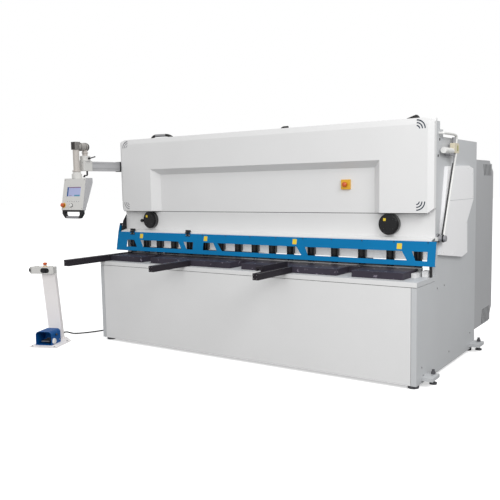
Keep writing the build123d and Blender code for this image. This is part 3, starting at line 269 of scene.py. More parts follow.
NODE_FINISH = {
    "frame": ["left_side_frame", "right_side_frame", "crossbeams", "oil_tank", "swing_beam", "bed"],
    "cabinet": ["electrical_cabinet", "cabinet_door", "left_rear_enclosure"],
    "cover": ["base_front_panel", "head_cover", "front_panel", "gap_drive"],
    "inner_white_painted_glow": ["hold_down_beam"],
    "side_white": ["side_covers"],
    "column_white_painted_glow": ["pedestal_stand"],
    "guard": ["guard_main", "guard_flap"],
    "table": ["table_top"],
    "arm_black": ["squaring_arm", "support_arms", "flip_stop"],
    "cast": ["levelling_feet"],
    "motor": ["pump_motor", "foot_pedal"],
    "steel": ["lower_blade", "upper_blade", "pivot_shafts", "left_gauge_screw", "right_gauge_screw"],
    "sheet_steel": ["scrap_chute", "gauge_guides", "back_gauge"],
    "gloss_black": ["hold_down_cylinders", "round_caps"],
    "black_steel": ["hold_down_plungers", "guard_hinges", "beam_cylinders", "pendant_bracket"],
    "chrome": ["press_rams", "return_rams"],
    "bronze": ["pivot_bushes"],
    "stop_red": ["panel_estop", "pendant_estop", "pedestal_estop"],
    "black_plastic": ["door_handle", "pendant_handle", "collar_lever", "arm_lever", "left_palm_button",
                      "right_palm_button", "cord_glands"],
    "rubber": ["top_hoses", "pedestal_cord"],
    "aluminium": ["pendant_arm"],
    "elbow": ["pendant_elbow"],
    "pendant": ["pendant_box", "pedestal_console"],
    "white_plastic": ["pendant_selector"],
    "foot_blue": ["foot_guard"],
}


def finish_nodes():
    for finish, names in NODE_FINISH.items():
        for name in names:
            mesh = NODES[name].data
            mesh.materials.clear()
            mesh.materials.append(MATERIALS[finish])


finish_nodes()


def paint(name, finish, inside):
    """Gives a finish to the faces of a node whose middle, in millimetres, and normal pass a test."""
    node = NODES[name]
    mesh = node.data
    index = len(mesh.materials)
    mesh.materials.append(MATERIALS[finish])
    turn = node.matrix_world.to_3x3()
    for face in mesh.polygons:
        middle = node.matrix_world @ face.center / MM
        if inside(middle.x, middle.y - FRONT_FACE_Y, middle.z, turn @ face.normal):
            face.material_index = index


# Areas of one node that are painted or made otherwise than the rest of it
STOP_X, STOP_HEIGHT, STOP_HALF = 950, 1613, 43.5
POST_T = -104
TUBE_T = -223
TUBE_SIDE = TUBE_T + 37.9
paint("front_panel", "stop_yellow",
      lambda x, t, z, n: max(abs(x - STOP_X), abs(z - STOP_HEIGHT)) < STOP_HALF and t < 407.5)
paint("pendant_arm", "pendant", lambda x, t, z, n: t < -42)
paint("pendant_elbow", "elbow_dark", lambda x, t, z, n: t < TUBE_SIDE and z > 2018)
paint("pendant_elbow", "elbow_stub", lambda x, t, z, n: t > TUBE_SIDE and z > 2004)
paint("pendant_elbow", "elbow_dark", lambda x, t, z, n: t > POST_T + 15 and z > 2004)
paint("pendant_elbow", "elbow_mid", lambda x, t, z, n: t < TUBE_SIDE and 2020 < z < 2098 and n.x > 0.5)
# The pendant box's right side is painted darker: painted shade
paint("pendant_box", "pendant_side_painted_shade", lambda x, t, z, n: n.x > 0.9 and x > -1616)
paint("bed", "cover", lambda x, t, z, n: t < 1 and n.y < -0.5)
# The groove under the bed plate's front edge is painted dark: painted shade in the recess
paint("bed", "hollow_painted_shade", lambda x, t, z, n: 806 < z < 811.5 and t < 6.5)
paint("head_cover", "frame", lambda x, t, z, n: n.y > 0.5)


# A piece: its mesh from the work, its finish, and the body that it rides on
def piece(name, work, finish, body="root", smooth=True, replaced=None):
    bmesh.ops.remove_doubles(work, verts=work.verts, dist=1e-6)
    bmesh.ops.recalc_face_normals(work, faces=work.faces)
    mesh = bpy.data.meshes.new(name)
    work.to_mesh(mesh)
    work.free()
    made = bpy.data.objects.new(name, mesh)
    bpy.context.scene.collection.objects.link(made)
    mesh.materials.append(MATERIALS[finish])
    if smooth:
        mesh.shade_smooth()
        mesh.set_sharp_from_angle(angle=math.radians(35))
    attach(made, body)
    if replaced:
        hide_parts(replaced)
    return made


def frame_along(direction):
    """Turn that takes Z to a direction."""
    return Vector(direction).to_track_quat("Z", "Y").to_matrix().to_4x4()


def on_ring(radius, degrees):
    angle = math.radians(degrees)
    return radius * math.cos(angle), radius * math.sin(angle)


def circle(radius, sides):
    """Points of a regular outline, such as a circle or a hexagon."""
    return [on_ring(radius, 360 * i / sides) for i in range(sides)]


# Forms in a matrix: their outlines and profiles are in millimetres
def add_lathe(work, profile, matrix, sides=32):
    """Turned form: profile points are (radius, height) around the matrix's Z."""
    rings = []
    for radius, height in profile:
        points = circle(radius, sides) if radius else [(0, 0)]
        rings.append([work.verts.new(matrix @ (Vector((x, y, height)) * MM)) for x, y in points])
    for low, high in zip(rings, rings[1:]):
        for i in range(sides):
            j = (i + 1) % sides
            corners = []
            for vertex in (low[i % len(low)], low[j % len(low)], high[j % len(high)], high[i % len(high)]):
                if vertex not in corners:
                    corners.append(vertex)
            if len(corners) > 2:
                work.faces.new(corners)


def add_sides(work, low, high):
    """Faces between two rings of as many corners."""
    for i in range(len(low)):
        j = (i + 1) % len(low)
        work.faces.new((low[i], low[j], high[j], high[i]))


def add_prism(work, outline, matrix, thick):
    """Straight prism: outline points are (x, y) in the matrix's plane, drawn out along its Z."""
    low = [work.verts.new(matrix @ (Vector((x, y, 0)) * MM)) for x, y in outline]
    high = [work.verts.new(matrix @ (Vector((x, y, thick)) * MM)) for x, y in outline]
    work.faces.new(low)
    work.faces.new(high)
    add_sides(work, low, high)


def rounded_outline(width, height, radius, steps=5):
    points = []
    for corner_x, corner_y, start in ((1, 1, 0), (-1, 1, 90), (-1, -1, 180), (1, -1, 270)):
        for step in range(steps + 1):
            angle = math.radians(start + 90 * step / steps)
            points.append((corner_x * (width / 2 - radius) + radius * math.cos(angle),
                           corner_y * (height / 2 - radius) + radius * math.sin(angle)))
    return points


def plane_at(point, right, out):
    """Matrix with X along right and Z along out, set at a point."""
    right, out = Vector(right).normalized(), Vector(out).normalized()
    up = out.cross(right)
    turn = Matrix((right, up, out)).transposed().to_4x4()
    return Matrix.Translation(point) @ turn


# Pairs of right and out, seen from outside each side of the machine
FRONT = ((1, 0, 0), (0, -1, 0))
RIGHT = ((0, 1, 0), (1, 0, 0))
REAR = ((-1, 0, 0), (0, 1, 0))


def at(x, depth, height):
    """Matrix at a place, its Z pointing up."""
    return Matrix.Translation(place(x, depth, height))


def facing(side, x, depth, height):
    """Matrix at a place, its Z pointing out of one side."""
    return plane_at(place(x, depth, height), *side)


def turned(degrees, axis):
    return Matrix.Rotation(math.radians(degrees), 4, axis)


def lifted(height):
    return Matrix.Translation((0, 0, height * MM))


def screw_head(work, matrix, radius, kind="socket"):
    """Cap screw, or hexagon head with a washer."""
    if kind == "hexagon":
        add_lathe(work, [(0, 0), (radius * 1.45, 0), (radius * 1.45, 1.5), (0, 1.5)], matrix, 24)
        add_prism(work, circle(radius, 6), matrix @ lifted(1.5), radius * 0.6)
        return
    high = radius * 0.8
    profile = [(0, 0), (radius, 0), (radius, high * 0.8), (radius * 0.85, high), (radius * 0.5, high),
               (radius * 0.45, high * 0.45), (0, high * 0.45)]
    add_lathe(work, profile, matrix, 18)


# Control cord
CORD_ROUTE = [(-2183, -171, 58), (-2199, -131, 57), (-2216, -76, 40), (-2214, -22, 16), (-2192, 34, 8),
              (-2148, 95, 8), (-2105, 170, 8), (-2066, 275, 8), (-2040, 390, 8), (-1990, 500, 8),
              (-1920, 582, 10), (-1862, 632, 34), (-1816, 650, 70), (-1773, 650, 70)]
CORD_RADIUS = 7.5


def make_cord():
    data = bpy.data.curves.new("control_cord", "CURVE")
    data.dimensions = "3D"
    spline = data.splines.new("NURBS")
    spline.points.add(len(CORD_ROUTE) - 1)
    for point, spot in zip(spline.points, CORD_ROUTE):
        point.co = (*place(*spot), 1)
    spline.order_u = 3
    spline.use_endpoint_u = True
    spline.resolution_u = 12
    data.bevel_depth = CORD_RADIUS * MM
    data.bevel_resolution = 5
    data.use_fill_caps = True
    data.materials.append(MATERIALS["rubber"])
    cord = bpy.data.objects.new("control_cord", data)
    bpy.context.scene.collection.objects.link(cord)
    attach(cord, "root")
    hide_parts("pedestal_cord")
    return cord


def make_glands():
    glands = []
    throat = CORD_RADIUS + 0.2
    profile = [(0, -14), (12.8, -14), (12.8, -4), (10.5, 1), (throat + 1, 2), (throat + 0.8, 22), (0, 22)]
    for name, here, beyond in (("gland_pedestal", CORD_ROUTE[0], CORD_ROUTE[1]),
                               ("gland_base", CORD_ROUTE[-1], CORD_ROUTE[-2])):
        work = bmesh.new()
        matrix = at(*here) @ frame_along(place(*beyond) - place(*here))
        add_prism(work, circle(14, 6), matrix @ lifted(-26), 12)
        add_lathe(work, profile, matrix, 28)
        glands.append(piece(name, work, "black_plastic", replaced="cord_glands"))
    return glands


cord_piece = make_cord()
gland_pieces = make_glands()


# Simple forms
def add_box(work, x, t, z):
    wide, deep, tall = x[1] - x[0], t[1] - t[0], z[1] - z[0]
    add_prism(work, [(0, 0), (wide, 0), (wide, deep), (0, deep)], at(x[0], t[0], z[0]), tall)


def add_plate(work, matrix, width, height, thick, radius=2):
    add_prism(work, rounded_outline(width, height, radius), matrix, thick)


def add_profile(work, outline, x0, x1):
    """Prism along X of an outline of (depth, height) points."""
    add_prism(work, outline, facing(RIGHT, x0, 0, 0), x1 - x0)


def add_rod(work, start, end, radius, sides=20):
    length = (end - start).length / MM
    profile = [(0, 0), (radius, 0), (radius, length), (0, length)]
    add_lathe(work, profile, Matrix.Translation(start) @ frame_along(end - start), sides)


def add_ring(work, matrix, inner, outer, high, sides=32):
    """Flat ring: rectangle profile turned around the matrix's Z."""
    profile = [(inner, 0), (outer, 0), (outer, high), (inner, high), (inner, 0)]
    add_lathe(work, profile, matrix, sides)


def rounded_path(route, radius, steps=6):
    """Points of a route of places whose corners are rounded."""
    corners = [place(*spot) for spot in route]
    points = [corners[0]]
    for before, corner, after in zip(corners, corners[1:], corners[2:]):
        back, ahead = before - corner, after - corner
        reach = min(radius * MM, back.length * 0.48, ahead.length * 0.48)
        start, end = corner + back.normalized() * reach, corner + ahead.normalized() * reach
        for step in range(steps + 1):
            share = step / steps
            points.append(start * (1 - share) ** 2 + corner * 2 * share * (1 - share) + end * share ** 2)
    return points + [corners[-1]]


def add_tube(work, points, radius, sides=16):
    """Tube along points, its ends closed."""
    across = (points[1] - points[0]).normalized().orthogonal().normalized()
    rings = []
    for index, point in enumerate(points):
        ahead = points[min(index + 1, len(points) - 1)] - points[max(index - 1, 0)]
        ahead.normalize()
        across = (across - ahead * across.dot(ahead)).normalized()
        other = ahead.cross(across)
        spots = [point + (across * x + other * y) * MM for x, y in circle(radius, sides)]
        rings.append([work.verts.new(spot) for spot in spots])
    for low, high in zip(rings, rings[1:]):
        add_sides(work, low, high)
    work.faces.new(rings[0])
    work.faces.new(rings[-1])


# Frame fasteners: bolts on both side frames, and plugs in their holes
FRAME_BOLTS = [(643, 748), (468, 744), (113, 160), (148, 88), (787, 142), (1404, 189)]
FRAME_PLUGS = [(499, 1964), (464, 1831)]
HALF_WIDTH = 1745


def frame_fasteners():
    for side, label in ((-1, "left"), (1, "right")):
        work = bmesh.new()
        for t, z in FRAME_BOLTS:
            screw_head(work, at(side * HALF_WIDTH, t, z) @ frame_along((side, 0, 0)), 7)
        piece(f"{label}_frame_bolts", work, "zinc")
        work = bmesh.new()
        for t, z in FRAME_PLUGS:
            matrix = at(side * HALF_WIDTH, t, z) @ frame_along((side, 0, 0))
            add_lathe(work, [(0, 0), (12, 0), (11, 1.5), (0, 2)], matrix, 24)
        piece(f"{label}_frame_plugs", work, "black_plastic")


# Corner ornaments on the head: three quarter arcs each
ARC_RADII = (24, 47, 70)
ARC_WIDTH = 9
ARC_STEPS = 10
ARC_X = 1614
ARC_HEIGHTS = ((2048, 1), (1464, -1))
HEAD_FACE = 330


def corner_arcs():
    for side, label, finish in ((-1, "left", "ornament_grey"), (1, "right", "ornament")):
        work = bmesh.new()
        for height, rising in ARC_HEIGHTS:
            matrix = facing(FRONT, side * ARC_X, HEAD_FACE, height)
            for radius in ARC_RADII:
                outline = []
                for edge in (radius - ARC_WIDTH / 2, radius + ARC_WIDTH / 2):
                    arc = [math.radians(90 * step / ARC_STEPS) for step in range(ARC_STEPS + 1)]
                    points = [(side * edge * math.cos(a), rising * edge * math.sin(a)) for a in arc]
                    outline += points if not outline else points[::-1]
                add_prism(work, outline, matrix, 0.6)
        piece(f"{label}_corner_arcs", work, finish, smooth=False)


# Finger guard: hinge leaves, screws, bare yellow plates, end plate and mounting blocks
GUARD_TOP = (318, 1143)
GUARD_OUT = (0, -0.982, 0.188)
GUARD_BOTTOM = (280, 945)
GUARD_LEAN = (GUARD_TOP[0] - GUARD_BOTTOM[0]) / (GUARD_TOP[1] - GUARD_BOTTOM[1])
HINGE_SPANS = [(-1597, -1535), (-817, -759)]
HINGE_AXIS = (314, 1152)


def on_guard(x, height):
    """Matrix on the front of the guard's plate."""
    t = GUARD_TOP[0] - (GUARD_TOP[1] - height) * GUARD_LEAN
    return plane_at(place(x, t, height), (1, 0, 0), GUARD_OUT)


def guard_details():
    work, heads = bmesh.new(), bmesh.new()
    for x0, x1 in HINGE_SPANS:
        add_plate(work, on_guard((x0 + x1) / 2, 1130), x1 - x0, 30, 3, 3)
        add_rod(work, place(x0, *HINGE_AXIS), place(x1, *HINGE_AXIS), 8.5, 24)
        for x in (x0 + 9, x1 - 9):
            screw_head(heads, on_guard(x, 1126) @ lifted(3), 4.5)
    piece("hinge_leaves", work, "black_steel", "guard_flap")
    piece("hinge_leaf_screws", heads, "zinc", "guard_flap")
    for name, body, places in (("flap_plate", "guard_flap", [(-1432, 1103)]),
                               ("guard_plates", "root", [(-556, 1100), (476, 1103), (1479, 1098)])):
        work = bmesh.new()
        for x, height in places:
            add_plate(work, on_guard(x, height), 44, 48, 0.6, 4)
        piece(name, work, "plate_yellow", body, smooth=False)
    work = bmesh.new()
    for x in range(-600, 1750, 290):
        screw_head(work, on_guard(x, 1133), 5)
    piece("guard_screws", work, "black_steel")
    work = bmesh.new()
    cheek = [GUARD_BOTTOM, GUARD_TOP, (345, 1235), (372, 1235), (385, 1143), (330, 950)]
    add_profile(work, cheek, -1787.5, -1783)
    piece("guard_cheek", work, "guard", "guard_flap")
    work = bmesh.new()
    for x0, x1 in HINGE_SPANS:
        add_profile(work, [(312, 1161.5), (334, 1161.5), (334, 1180), (312, 1180)], x0, x1 - 6)
    add_profile(work, [(320, 850), (350, 850), (350, 1105), (317, 1105), (296, 995)],
                HALF_WIDTH - 12, HALF_WIDTH)
    piece("guard_mounts", work, "black_steel")


# Caps: a rim, screws and a bare plate on each, and a knob beside the left one
PANEL_FRONT = 408
CAP_FACE = PANEL_FRONT - 48
CAP_X = 1360
CAP_HEIGHT = 1275
CAP_SCREW_RING = 57.2


def cap_details():
    rims, plates, heads = bmesh.new(), bmesh.new(), bmesh.new()
    for x in (-CAP_X, CAP_X):
        matrix = facing(FRONT, x, CAP_FACE, CAP_HEIGHT)
        add_ring(rims, matrix, 68, 74, 1.5, 48)
        add_plate(plates, facing(FRONT, x - 34, CAP_FACE, CAP_HEIGHT + 38), 24, 24, 0.6, 3)
        for degrees in (45, 225, 315):
            dx, dz = on_ring(CAP_SCREW_RING, degrees)
            screw_head(heads, facing(FRONT, x + dx, CAP_FACE, CAP_HEIGHT + dz), 4.5)
    add_lathe(rims, [(0, 0), (18, 0), (19, 6), (15, 16), (0, 17)],
              facing(FRONT, -CAP_X - 107, 368, CAP_HEIGHT - 9), 32)
    piece("cap_rims", rims, "gloss_black")
    piece("cap_plates", plates, "plate_yellow", smooth=False)
    piece("cap_screws", heads, "black_steel")


# Emergency stops: collar and domed top of each mushroom
def stop_details(name, matrix, body, button_body, reach, radius=20):
    """The matrix stands on the plate, its Z pointing out of it."""
    work = bmesh.new()
    add_ring(work, matrix, 9, 15, 1.6)
    piece(f"{name}_collar", work, "black_plastic", body)
    work = bmesh.new()
    dome = [(0, reach), (radius * 0.96, reach), (radius * 0.8, reach + 3), (radius * 0.45, reach + 5),
            (0, reach + 5.6)]
    add_lathe(work, dome, matrix, 36)
    piece(f"{name}_dome", work, "stop_red", button_body)


# Pendant: screen, marks, buttons, grip and rings
BOX_TOP, BOX_BOTTOM = 1727, 1406
BOX_TOP_FACE, BOX_LOW_FACE = -270, -330
FACE_OUT = (0, BOX_BOTTOM - BOX_TOP, BOX_TOP_FACE - BOX_LOW_FACE)
ARM_X = -1800
PENDANT_STOP_X = -1905
SELECTOR_X = -1790
BUTTON_HEIGHT = 1452
SCREEN_X, SCREEN_HEIGHT = -1775, 1592
ELBOW_HEIGHT = 2050


def on_box(x, height, raised=0.0):
    """Matrix on the leaning front face of the pendant's box."""
    share = (height - BOX_BOTTOM) / (BOX_TOP - BOX_BOTTOM)
    t = BOX_LOW_FACE + share * (BOX_TOP_FACE - BOX_LOW_FACE)
    return plane_at(place(x, t, height), (1, 0, 0), FACE_OUT) @ lifted(raised)


def pendant_details():
    tiles = [("screen_glass", "screen", SCREEN_X, SCREEN_HEIGHT, 204, 98, -2, 1.0),
             ("screen_edge", "screen_dark", -1866, 1591, 20, 95, -1, 0.3),
             ("screen_bar", "screen_violet", -1765, 1634, 178, 10, -1, 0.3),
             ("screen_foot", "screen_teal", -1722, 1552, 84, 15, -1, 0.3),
             ("screen_list", "screen_violet", -1822, 1552, 36, 5, -1, 0.3),
             ("screen_top", "pendant", SCREEN_X, 1650.5, 205, 18, -2, 2.0),
             ("screen_sill", "pendant", SCREEN_X, 1526.5, 205, 32, -2, 2.0)]
    for name, finish, x, height, width, tall, raised, thick in tiles:
        work = bmesh.new()
        add_plate(work, on_box(x, height, raised), width, tall, thick, min(3, tall / 4))
        piece(name, work, finish, "pendant_box", smooth=False)
    work = bmesh.new()
    for dx, dz, width, tall in ((0, 51, 212, 4), (0, -51, 212, 4), (104, 0, 4, 106), (-104, 0, 4, 106)):
        add_plate(work, on_box(SCREEN_X + dx, SCREEN_HEIGHT + dz * 0.983), width, tall, 0.8, 1.8)
    piece("screen_frame", work, "white_plastic", "pendant_box", smooth=False)
    marks = bmesh.new()
    for index in range(6):
        matrix = on_box(-1855 + 34 * index, 1492)
        add_lathe(marks, [(0, 0), (4.5, 0), (4.5, 1), (3, 2), (0, 2)], matrix, 16)
    piece("pendant_marks", marks, "ornament_grey", "pendant_box")
    work = bmesh.new()
    add_ring(work, on_box(PENDANT_STOP_X, BUTTON_HEIGHT), 9, 27, 2.2, 40)
    piece("pendant_stop_disc", work, "stop_yellow", "pendant_box")
    work = bmesh.new()
    add_ring(work, on_box(SELECTOR_X, BUTTON_HEIGHT), 8.6, 21, 2, 40)
    piece("selector_disc", work, "black_plastic", "pendant_box")
    work = bmesh.new()
    mark = [(-1.4, 0), (1.4, 0), (1.4, 14), (-1.4, 14)]
    add_prism(work, mark, on_box(SELECTOR_X, BUTTON_HEIGHT, 25), 0.5)
    piece("selector_mark", work, "black_plastic", "pendant_selector", smooth=False)
    work = bmesh.new()
    add_plate(work, facing(RIGHT, -1868, BOX_LOW_FACE + 20, 1330.5), 36, 25, 184, 6)
    piece("handle_grip", work, "zinc_matt", "pendant_box")
    heads = bmesh.new()
    for x in (-1922, -1631):
        for height in (1422, 1711):
            screw_head(heads, on_box(x, height), 4)
    piece("pendant_screws", heads, "zinc", "pendant_box")
    heads = bmesh.new()
    for x in (-1900, -1653):
        screw_head(heads, facing(REAR, x, -182, 1700), 4)
    piece("pendant_rear_screws", heads, "zinc", "pendant_box")


def elbow_details():
    work = bmesh.new()
    add_ring(work, at(ARM_X, TUBE_T, 1795), 32, 44, 14, 40)
    add_ring(work, at(ARM_X, POST_T, 1985), 27, 34, 10, 40)
    piece("elbow_rings", work, "elbow", "pendant_elbow")
    work = bmesh.new()
    for t in (TUBE_T + 42, POST_T - 12, POST_T + 12):
        add_ring(work, plane_at(place(ARM_X, t, ELBOW_HEIGHT), (1, 0, 0), (0, 1, 0)), 42, 44, 3, 40)
    piece("elbow_seams", work, "elbow_dark", "pendant_elbow")
    work = bmesh.new()
    for degrees in (45, 135, 225, 315):
        dx, dz = on_ring(24, degrees)
        screw_head(work, facing(REAR, ARM_X + dx, POST_T + 30, ELBOW_HEIGHT + dz), 4)
    piece("elbow_screws", work, "zinc", "pendant_elbow")
    work = bmesh.new()
    for dx, dt in ((-30, -148), (30, -148), (-30, -58), (30, -58)):
        screw_head(work, at(ARM_X + dx, dt, 1907), 4)
    for z in (1822, 1888):
        for dx in (-26, 26):
            screw_head(work, facing(FRONT, ARM_X + dx, -162, z), 4)
    for z in (1775, 1930):
        screw_head(work, at(-1757, 480, z) @ frame_along((-1, 0, 0)), 6)
    piece("arm_screws", work, "zinc")
    work = bmesh.new()
    add_ring(work, at(ARM_X, POST_T, 1907), 52, 56, 8, 40)
    piece("collar_foot", work, "pendant")
    knobs = bmesh.new()
    add_rod(knobs, place(-1730, POST_T + 60, 1947), place(-1730, POST_T + 74, 1950.5), 6.5, 16)
    piece("collar_lever_knob", knobs, "black_plastic", "collar_lever")
    knobs = bmesh.new()
    add_lathe(knobs, [(0, 0), (11, 0), (12, 8), (9, 14), (0, 15)], at(ARM_X, POST_T - 22, 1737), 20)
    piece("arm_lever_knob", knobs, "black_plastic", "arm_lever")


# Table: rows of flush fasteners, scale strips and end caps of the arms
TABLE_TOP = 905
HAND_GAPS = [(-1226, -1100), (-99, 34), (1015, 1153)]
SUPPORT_ARM_X = (-597.5, 552.5)
SUPPORT_ARM_TIP = -450
SCALES = [(-1731, -480, 400, 912), (-618, -440, 70, TABLE_TOP), (573, -440, 70, TABLE_TOP)]


def table_details():
    work = bmesh.new()
    for x in range(-1600, 1600, 160):
        if not any(low - 30 < x < high + 30 for low, high in HAND_GAPS):
            for t in (130, 250):
                add_ring(work, at(x, t, TABLE_TOP), 4, 8.5, 0.3, 20)
        add_ring(work, at(x, 372, TABLE_TOP), 4, 8.5, 0.3, 20)
    piece("table_screws", work, "zinc")
    strips, ticks = bmesh.new(), bmesh.new()
    for x, start, end, height in SCALES:
        add_box(strips, (x - 5, x + 5), (start, end), (height, height + 0.4))
        for index in range((end - start) // 10):
            reach = 7 if index % 5 == 0 else 4
            t = start + 5 + 10 * index
            add_box(ticks, (x - 4, x - 4 + reach), (t, t + 1.2), (height + 0.4, height + 0.5))
    piece("scale_strips", strips, "zinc", smooth=False)
    piece("scale_ticks", ticks, "black_plastic", smooth=False)
    heads = bmesh.new()
    for x in SUPPORT_ARM_X:
        for z in (862, 893):
            for dx in (-14, 14):
                screw_head(heads, facing(FRONT, x + dx, SUPPORT_ARM_TIP, z), 3)
    piece("arm_end_screws", heads, "zinc")
    caps = bmesh.new()
    for x in SUPPORT_ARM_X:
        add_plate(caps, facing(FRONT, x, SUPPORT_ARM_TIP, 877.5), 51, 51, 1.6, 4)
    add_plate(caps, facing(FRONT, -1706, -490, 881), 62, 58, 1.6, 4)
    piece("arm_end_caps", caps, "arm_black", smooth=False)


# Gap drive: gearmotor, block, conduit, rod and lower fitting
DRIVE_X = 1783
DRIVE_FOOT = (450, 1160)


def gap_drive():
    work = bmesh.new()
    add_rod(work, place(DRIVE_X, 485, 1875), place(DRIVE_X, 690, 1875), 25, 32)
    conduit = [(HALF_WIDTH, 480, 2013), (DRIVE_X, 480, 2013), (DRIVE_X, 740, 2016), (DRIVE_X, 822, 2006),
               (DRIVE_X, 802, 1938)]
    add_tube(work, rounded_path(conduit, 60), 11)
    add_rod(work, place(1800, 755, 1859), place(1800, 454, 1180), 9)
    piece("drive_tubes", work, "white_plastic", replaced="gap_drive")
    work = bmesh.new()
    add_plate(work, facing(RIGHT, 1768, 752, 1899), 124, 82, 40, 6)
    piece("drive_block", work, "cream", replaced="gap_drive")
    work = bmesh.new()
    add_plate(work, facing(RIGHT, 1808, 772, 1899), 24, 46, 0.6, 3)
    piece("drive_stripe", work, "lime", smooth=False)
    work = bmesh.new()
    add_rod(work, place(1775, 770, 1938), place(1775, 770, 1992), 15)
    add_profile(work, [(590, 1851), (700, 1859), (760, 1859), (745, 1836), (650, 1836)], HALF_WIDTH, 1796)
    add_profile(work, [(705, 1859), (800, 1859), (800, 1930), (705, 1930)], HALF_WIDTH, 1768)
    add_profile(work, [(725, 1838), (748, 1838), (722, 1770), (710, 1770)], 1788, 1791)
    add_lathe(work, [(0, 0), (38, 0), (38, 14), (26, 18), (26, 75), (0, 75)],
              facing(RIGHT, HALF_WIDTH, *DRIVE_FOOT), 40)
    add_ring(work, facing(RIGHT, 1820, *DRIVE_FOOT), 10, 22, 3)
    piece("drive_fittings", work, "zinc_matt", replaced="gap_drive")
    work = bmesh.new()
    add_ring(work, facing(RIGHT, 1759, *DRIVE_FOOT), 26.2, 34, 5)
    add_ring(work, facing(RIGHT, 1795, *DRIVE_FOOT), 26.2, 32, 10)
    # The dark tube beside the rod is painted shadow of the gap along the side cover's front edge; the
    # rings are real washers
    add_tube(work, [place(1788, 712, 1775), place(1788, 600, 1520), place(1788, 447, 1190)], 5.5)
    piece("drive_washers_and_gap_shadow", work, "black_steel")
    work = bmesh.new()
    add_box(work, (HALF_WIDTH, HALF_WIDTH + 21), (398, 426), (1142, 1172))
    piece("drive_foot", work, "white_plastic")


# Top hoses: the hose hump, an elbow and a dark cover behind the head
def top_hoses():
    work = bmesh.new()
    hump = [(-1555, 650, 1980), (-1555, 650, 2189), (-1310, 690, 2189), (-1150, 760, 1980)]
    elbow = [(150, 640, 1980), (150, 640, 2168), (222, 640, 2168)]
    for route, bend, radius in ((hump, 70, 15), (elbow, 30, 14)):
        add_tube(work, rounded_path(route, bend), radius)
    add_prism(work, [(1410, 1980), (1470, 1980), (1516, 2172), (1500, 2190), (1410, 2160)],
              facing(FRONT, 0, 665, 0), 50)
    piece("hoses", work, "rubber", replaced="top_hoses")
    work = bmesh.new()
    add_rod(work, place(-1500, 659, 2189), place(-1370, 680, 2189), 15.8, 28)
    for (x, t, z), radius in ((hump[0], 24), (elbow[0], 22)):
        add_prism(work, circle(radius, 6), at(x, t, z + 60), 30)
    piece("hose_couplings", work, "zinc")


# Dark strip of painted shadow under the head's lower edge, and white blocks on the bed's right end
def head_gap_painted_shadow():
    work = bmesh.new()
    add_box(work, (-1700, 1700), (331, 336), (1365, 1370))
    piece("head_gap_painted_shadow", work, "hollow_painted_shade", smooth=False)


def bed_blocks():
    work = bmesh.new()
    add_box(work, (1604, 1650), (250, 400), (850, 885))
    add_box(work, (1665, 1720), (330, 410), (850, 900))
    piece("bed_blocks", work, "cover")


# Side covers: screws, and a grey line of painted shade along the fold line
COVER_FACE = HALF_WIDTH + 30
COVER_SCREWS = [(680, 1720), (1180, 1735), (1320, 1690), (1340, 1480), (1150, 1250), (1165, 1000),
                (800, 1005), (520, 1040)]


def cover_details():
    for side, label in ((-1, "left"), (1, "right")):
        work = bmesh.new()
        for t, z in COVER_SCREWS:
            screw_head(work, at(side * COVER_FACE, t, z) @ frame_along((side, 0, 0)), 5)
        piece(f"{label}_cover_screws", work, "white_plastic")
        # The grey strip along the fold is painted shade where the bent sheet changes its angle to the
        # light
        work = bmesh.new()
        edge = sorted((side * COVER_FACE, side * (COVER_FACE + 0.4)))
        add_box(work, edge, (574, 1366), (1460, 1464))
        piece(f"{label}_cover_fold_shade_line", work, "frame", smooth=False)


# Cabinet: lock plate, vent plates with dark slits of painted shade, and glands on top
VENT_DEPTHS = (1778, 2104)


def cabinet_details():
    work = bmesh.new()
    add_plate(work, facing(REAR, 1705, 2164.3, 1000), 34, 240, 0.3, 10)
    piece("lock_plate", work, "black_plastic", "cabinet_door")
    plates, slit_painted_shade = bmesh.new(), bmesh.new()
    front, rear = VENT_DEPTHS
    for face, cut in ((-HALF_WIDTH - 1, -HALF_WIDTH - 1.5), (HALF_WIDTH, HALF_WIDTH + 1)):
        for low, high, z0, z1 in ((30, 0, 1676, 1786), (0, 30, 203, 347)):
            sheet = [(front, z0 - 6), (rear, z0 - 6), (rear, z1 + 6), (front, z1 + 6)]
            add_profile(plates, sheet, face, face + 1)
            for index in range(6):
                t = front + 18 + 48 * index
                slit = [(t + low, z0), (t + low + 15, z0), (t + high + 15, z1), (t + high, z1)]
                add_profile(slit_painted_shade, slit, cut, cut + 0.5)
    piece("vent_plates", plates, "cabinet", smooth=False)
    piece("vent_slits_painted_shade", slit_painted_shade, "hollow_painted_shade", smooth=False)
    work = bmesh.new()
    for x in (1450, 1510, 1570, 1630):
        matrix = at(x, 1700, 1824)
        add_prism(work, circle(16, 6), matrix, 10)
        add_lathe(work, [(0, 10), (13, 10), (11, 22), (8, 26), (0, 26)], matrix, 20)
    piece("cabinet_glands", work, "black_plastic")


# Hydraulics: tank caps, valve heads, motor fins and grille, bolts and glands of the press cylinders
PRESS_X, PRESS_DEPTH = 1560, 620
MOTOR_AXIS = (1000, 1830)


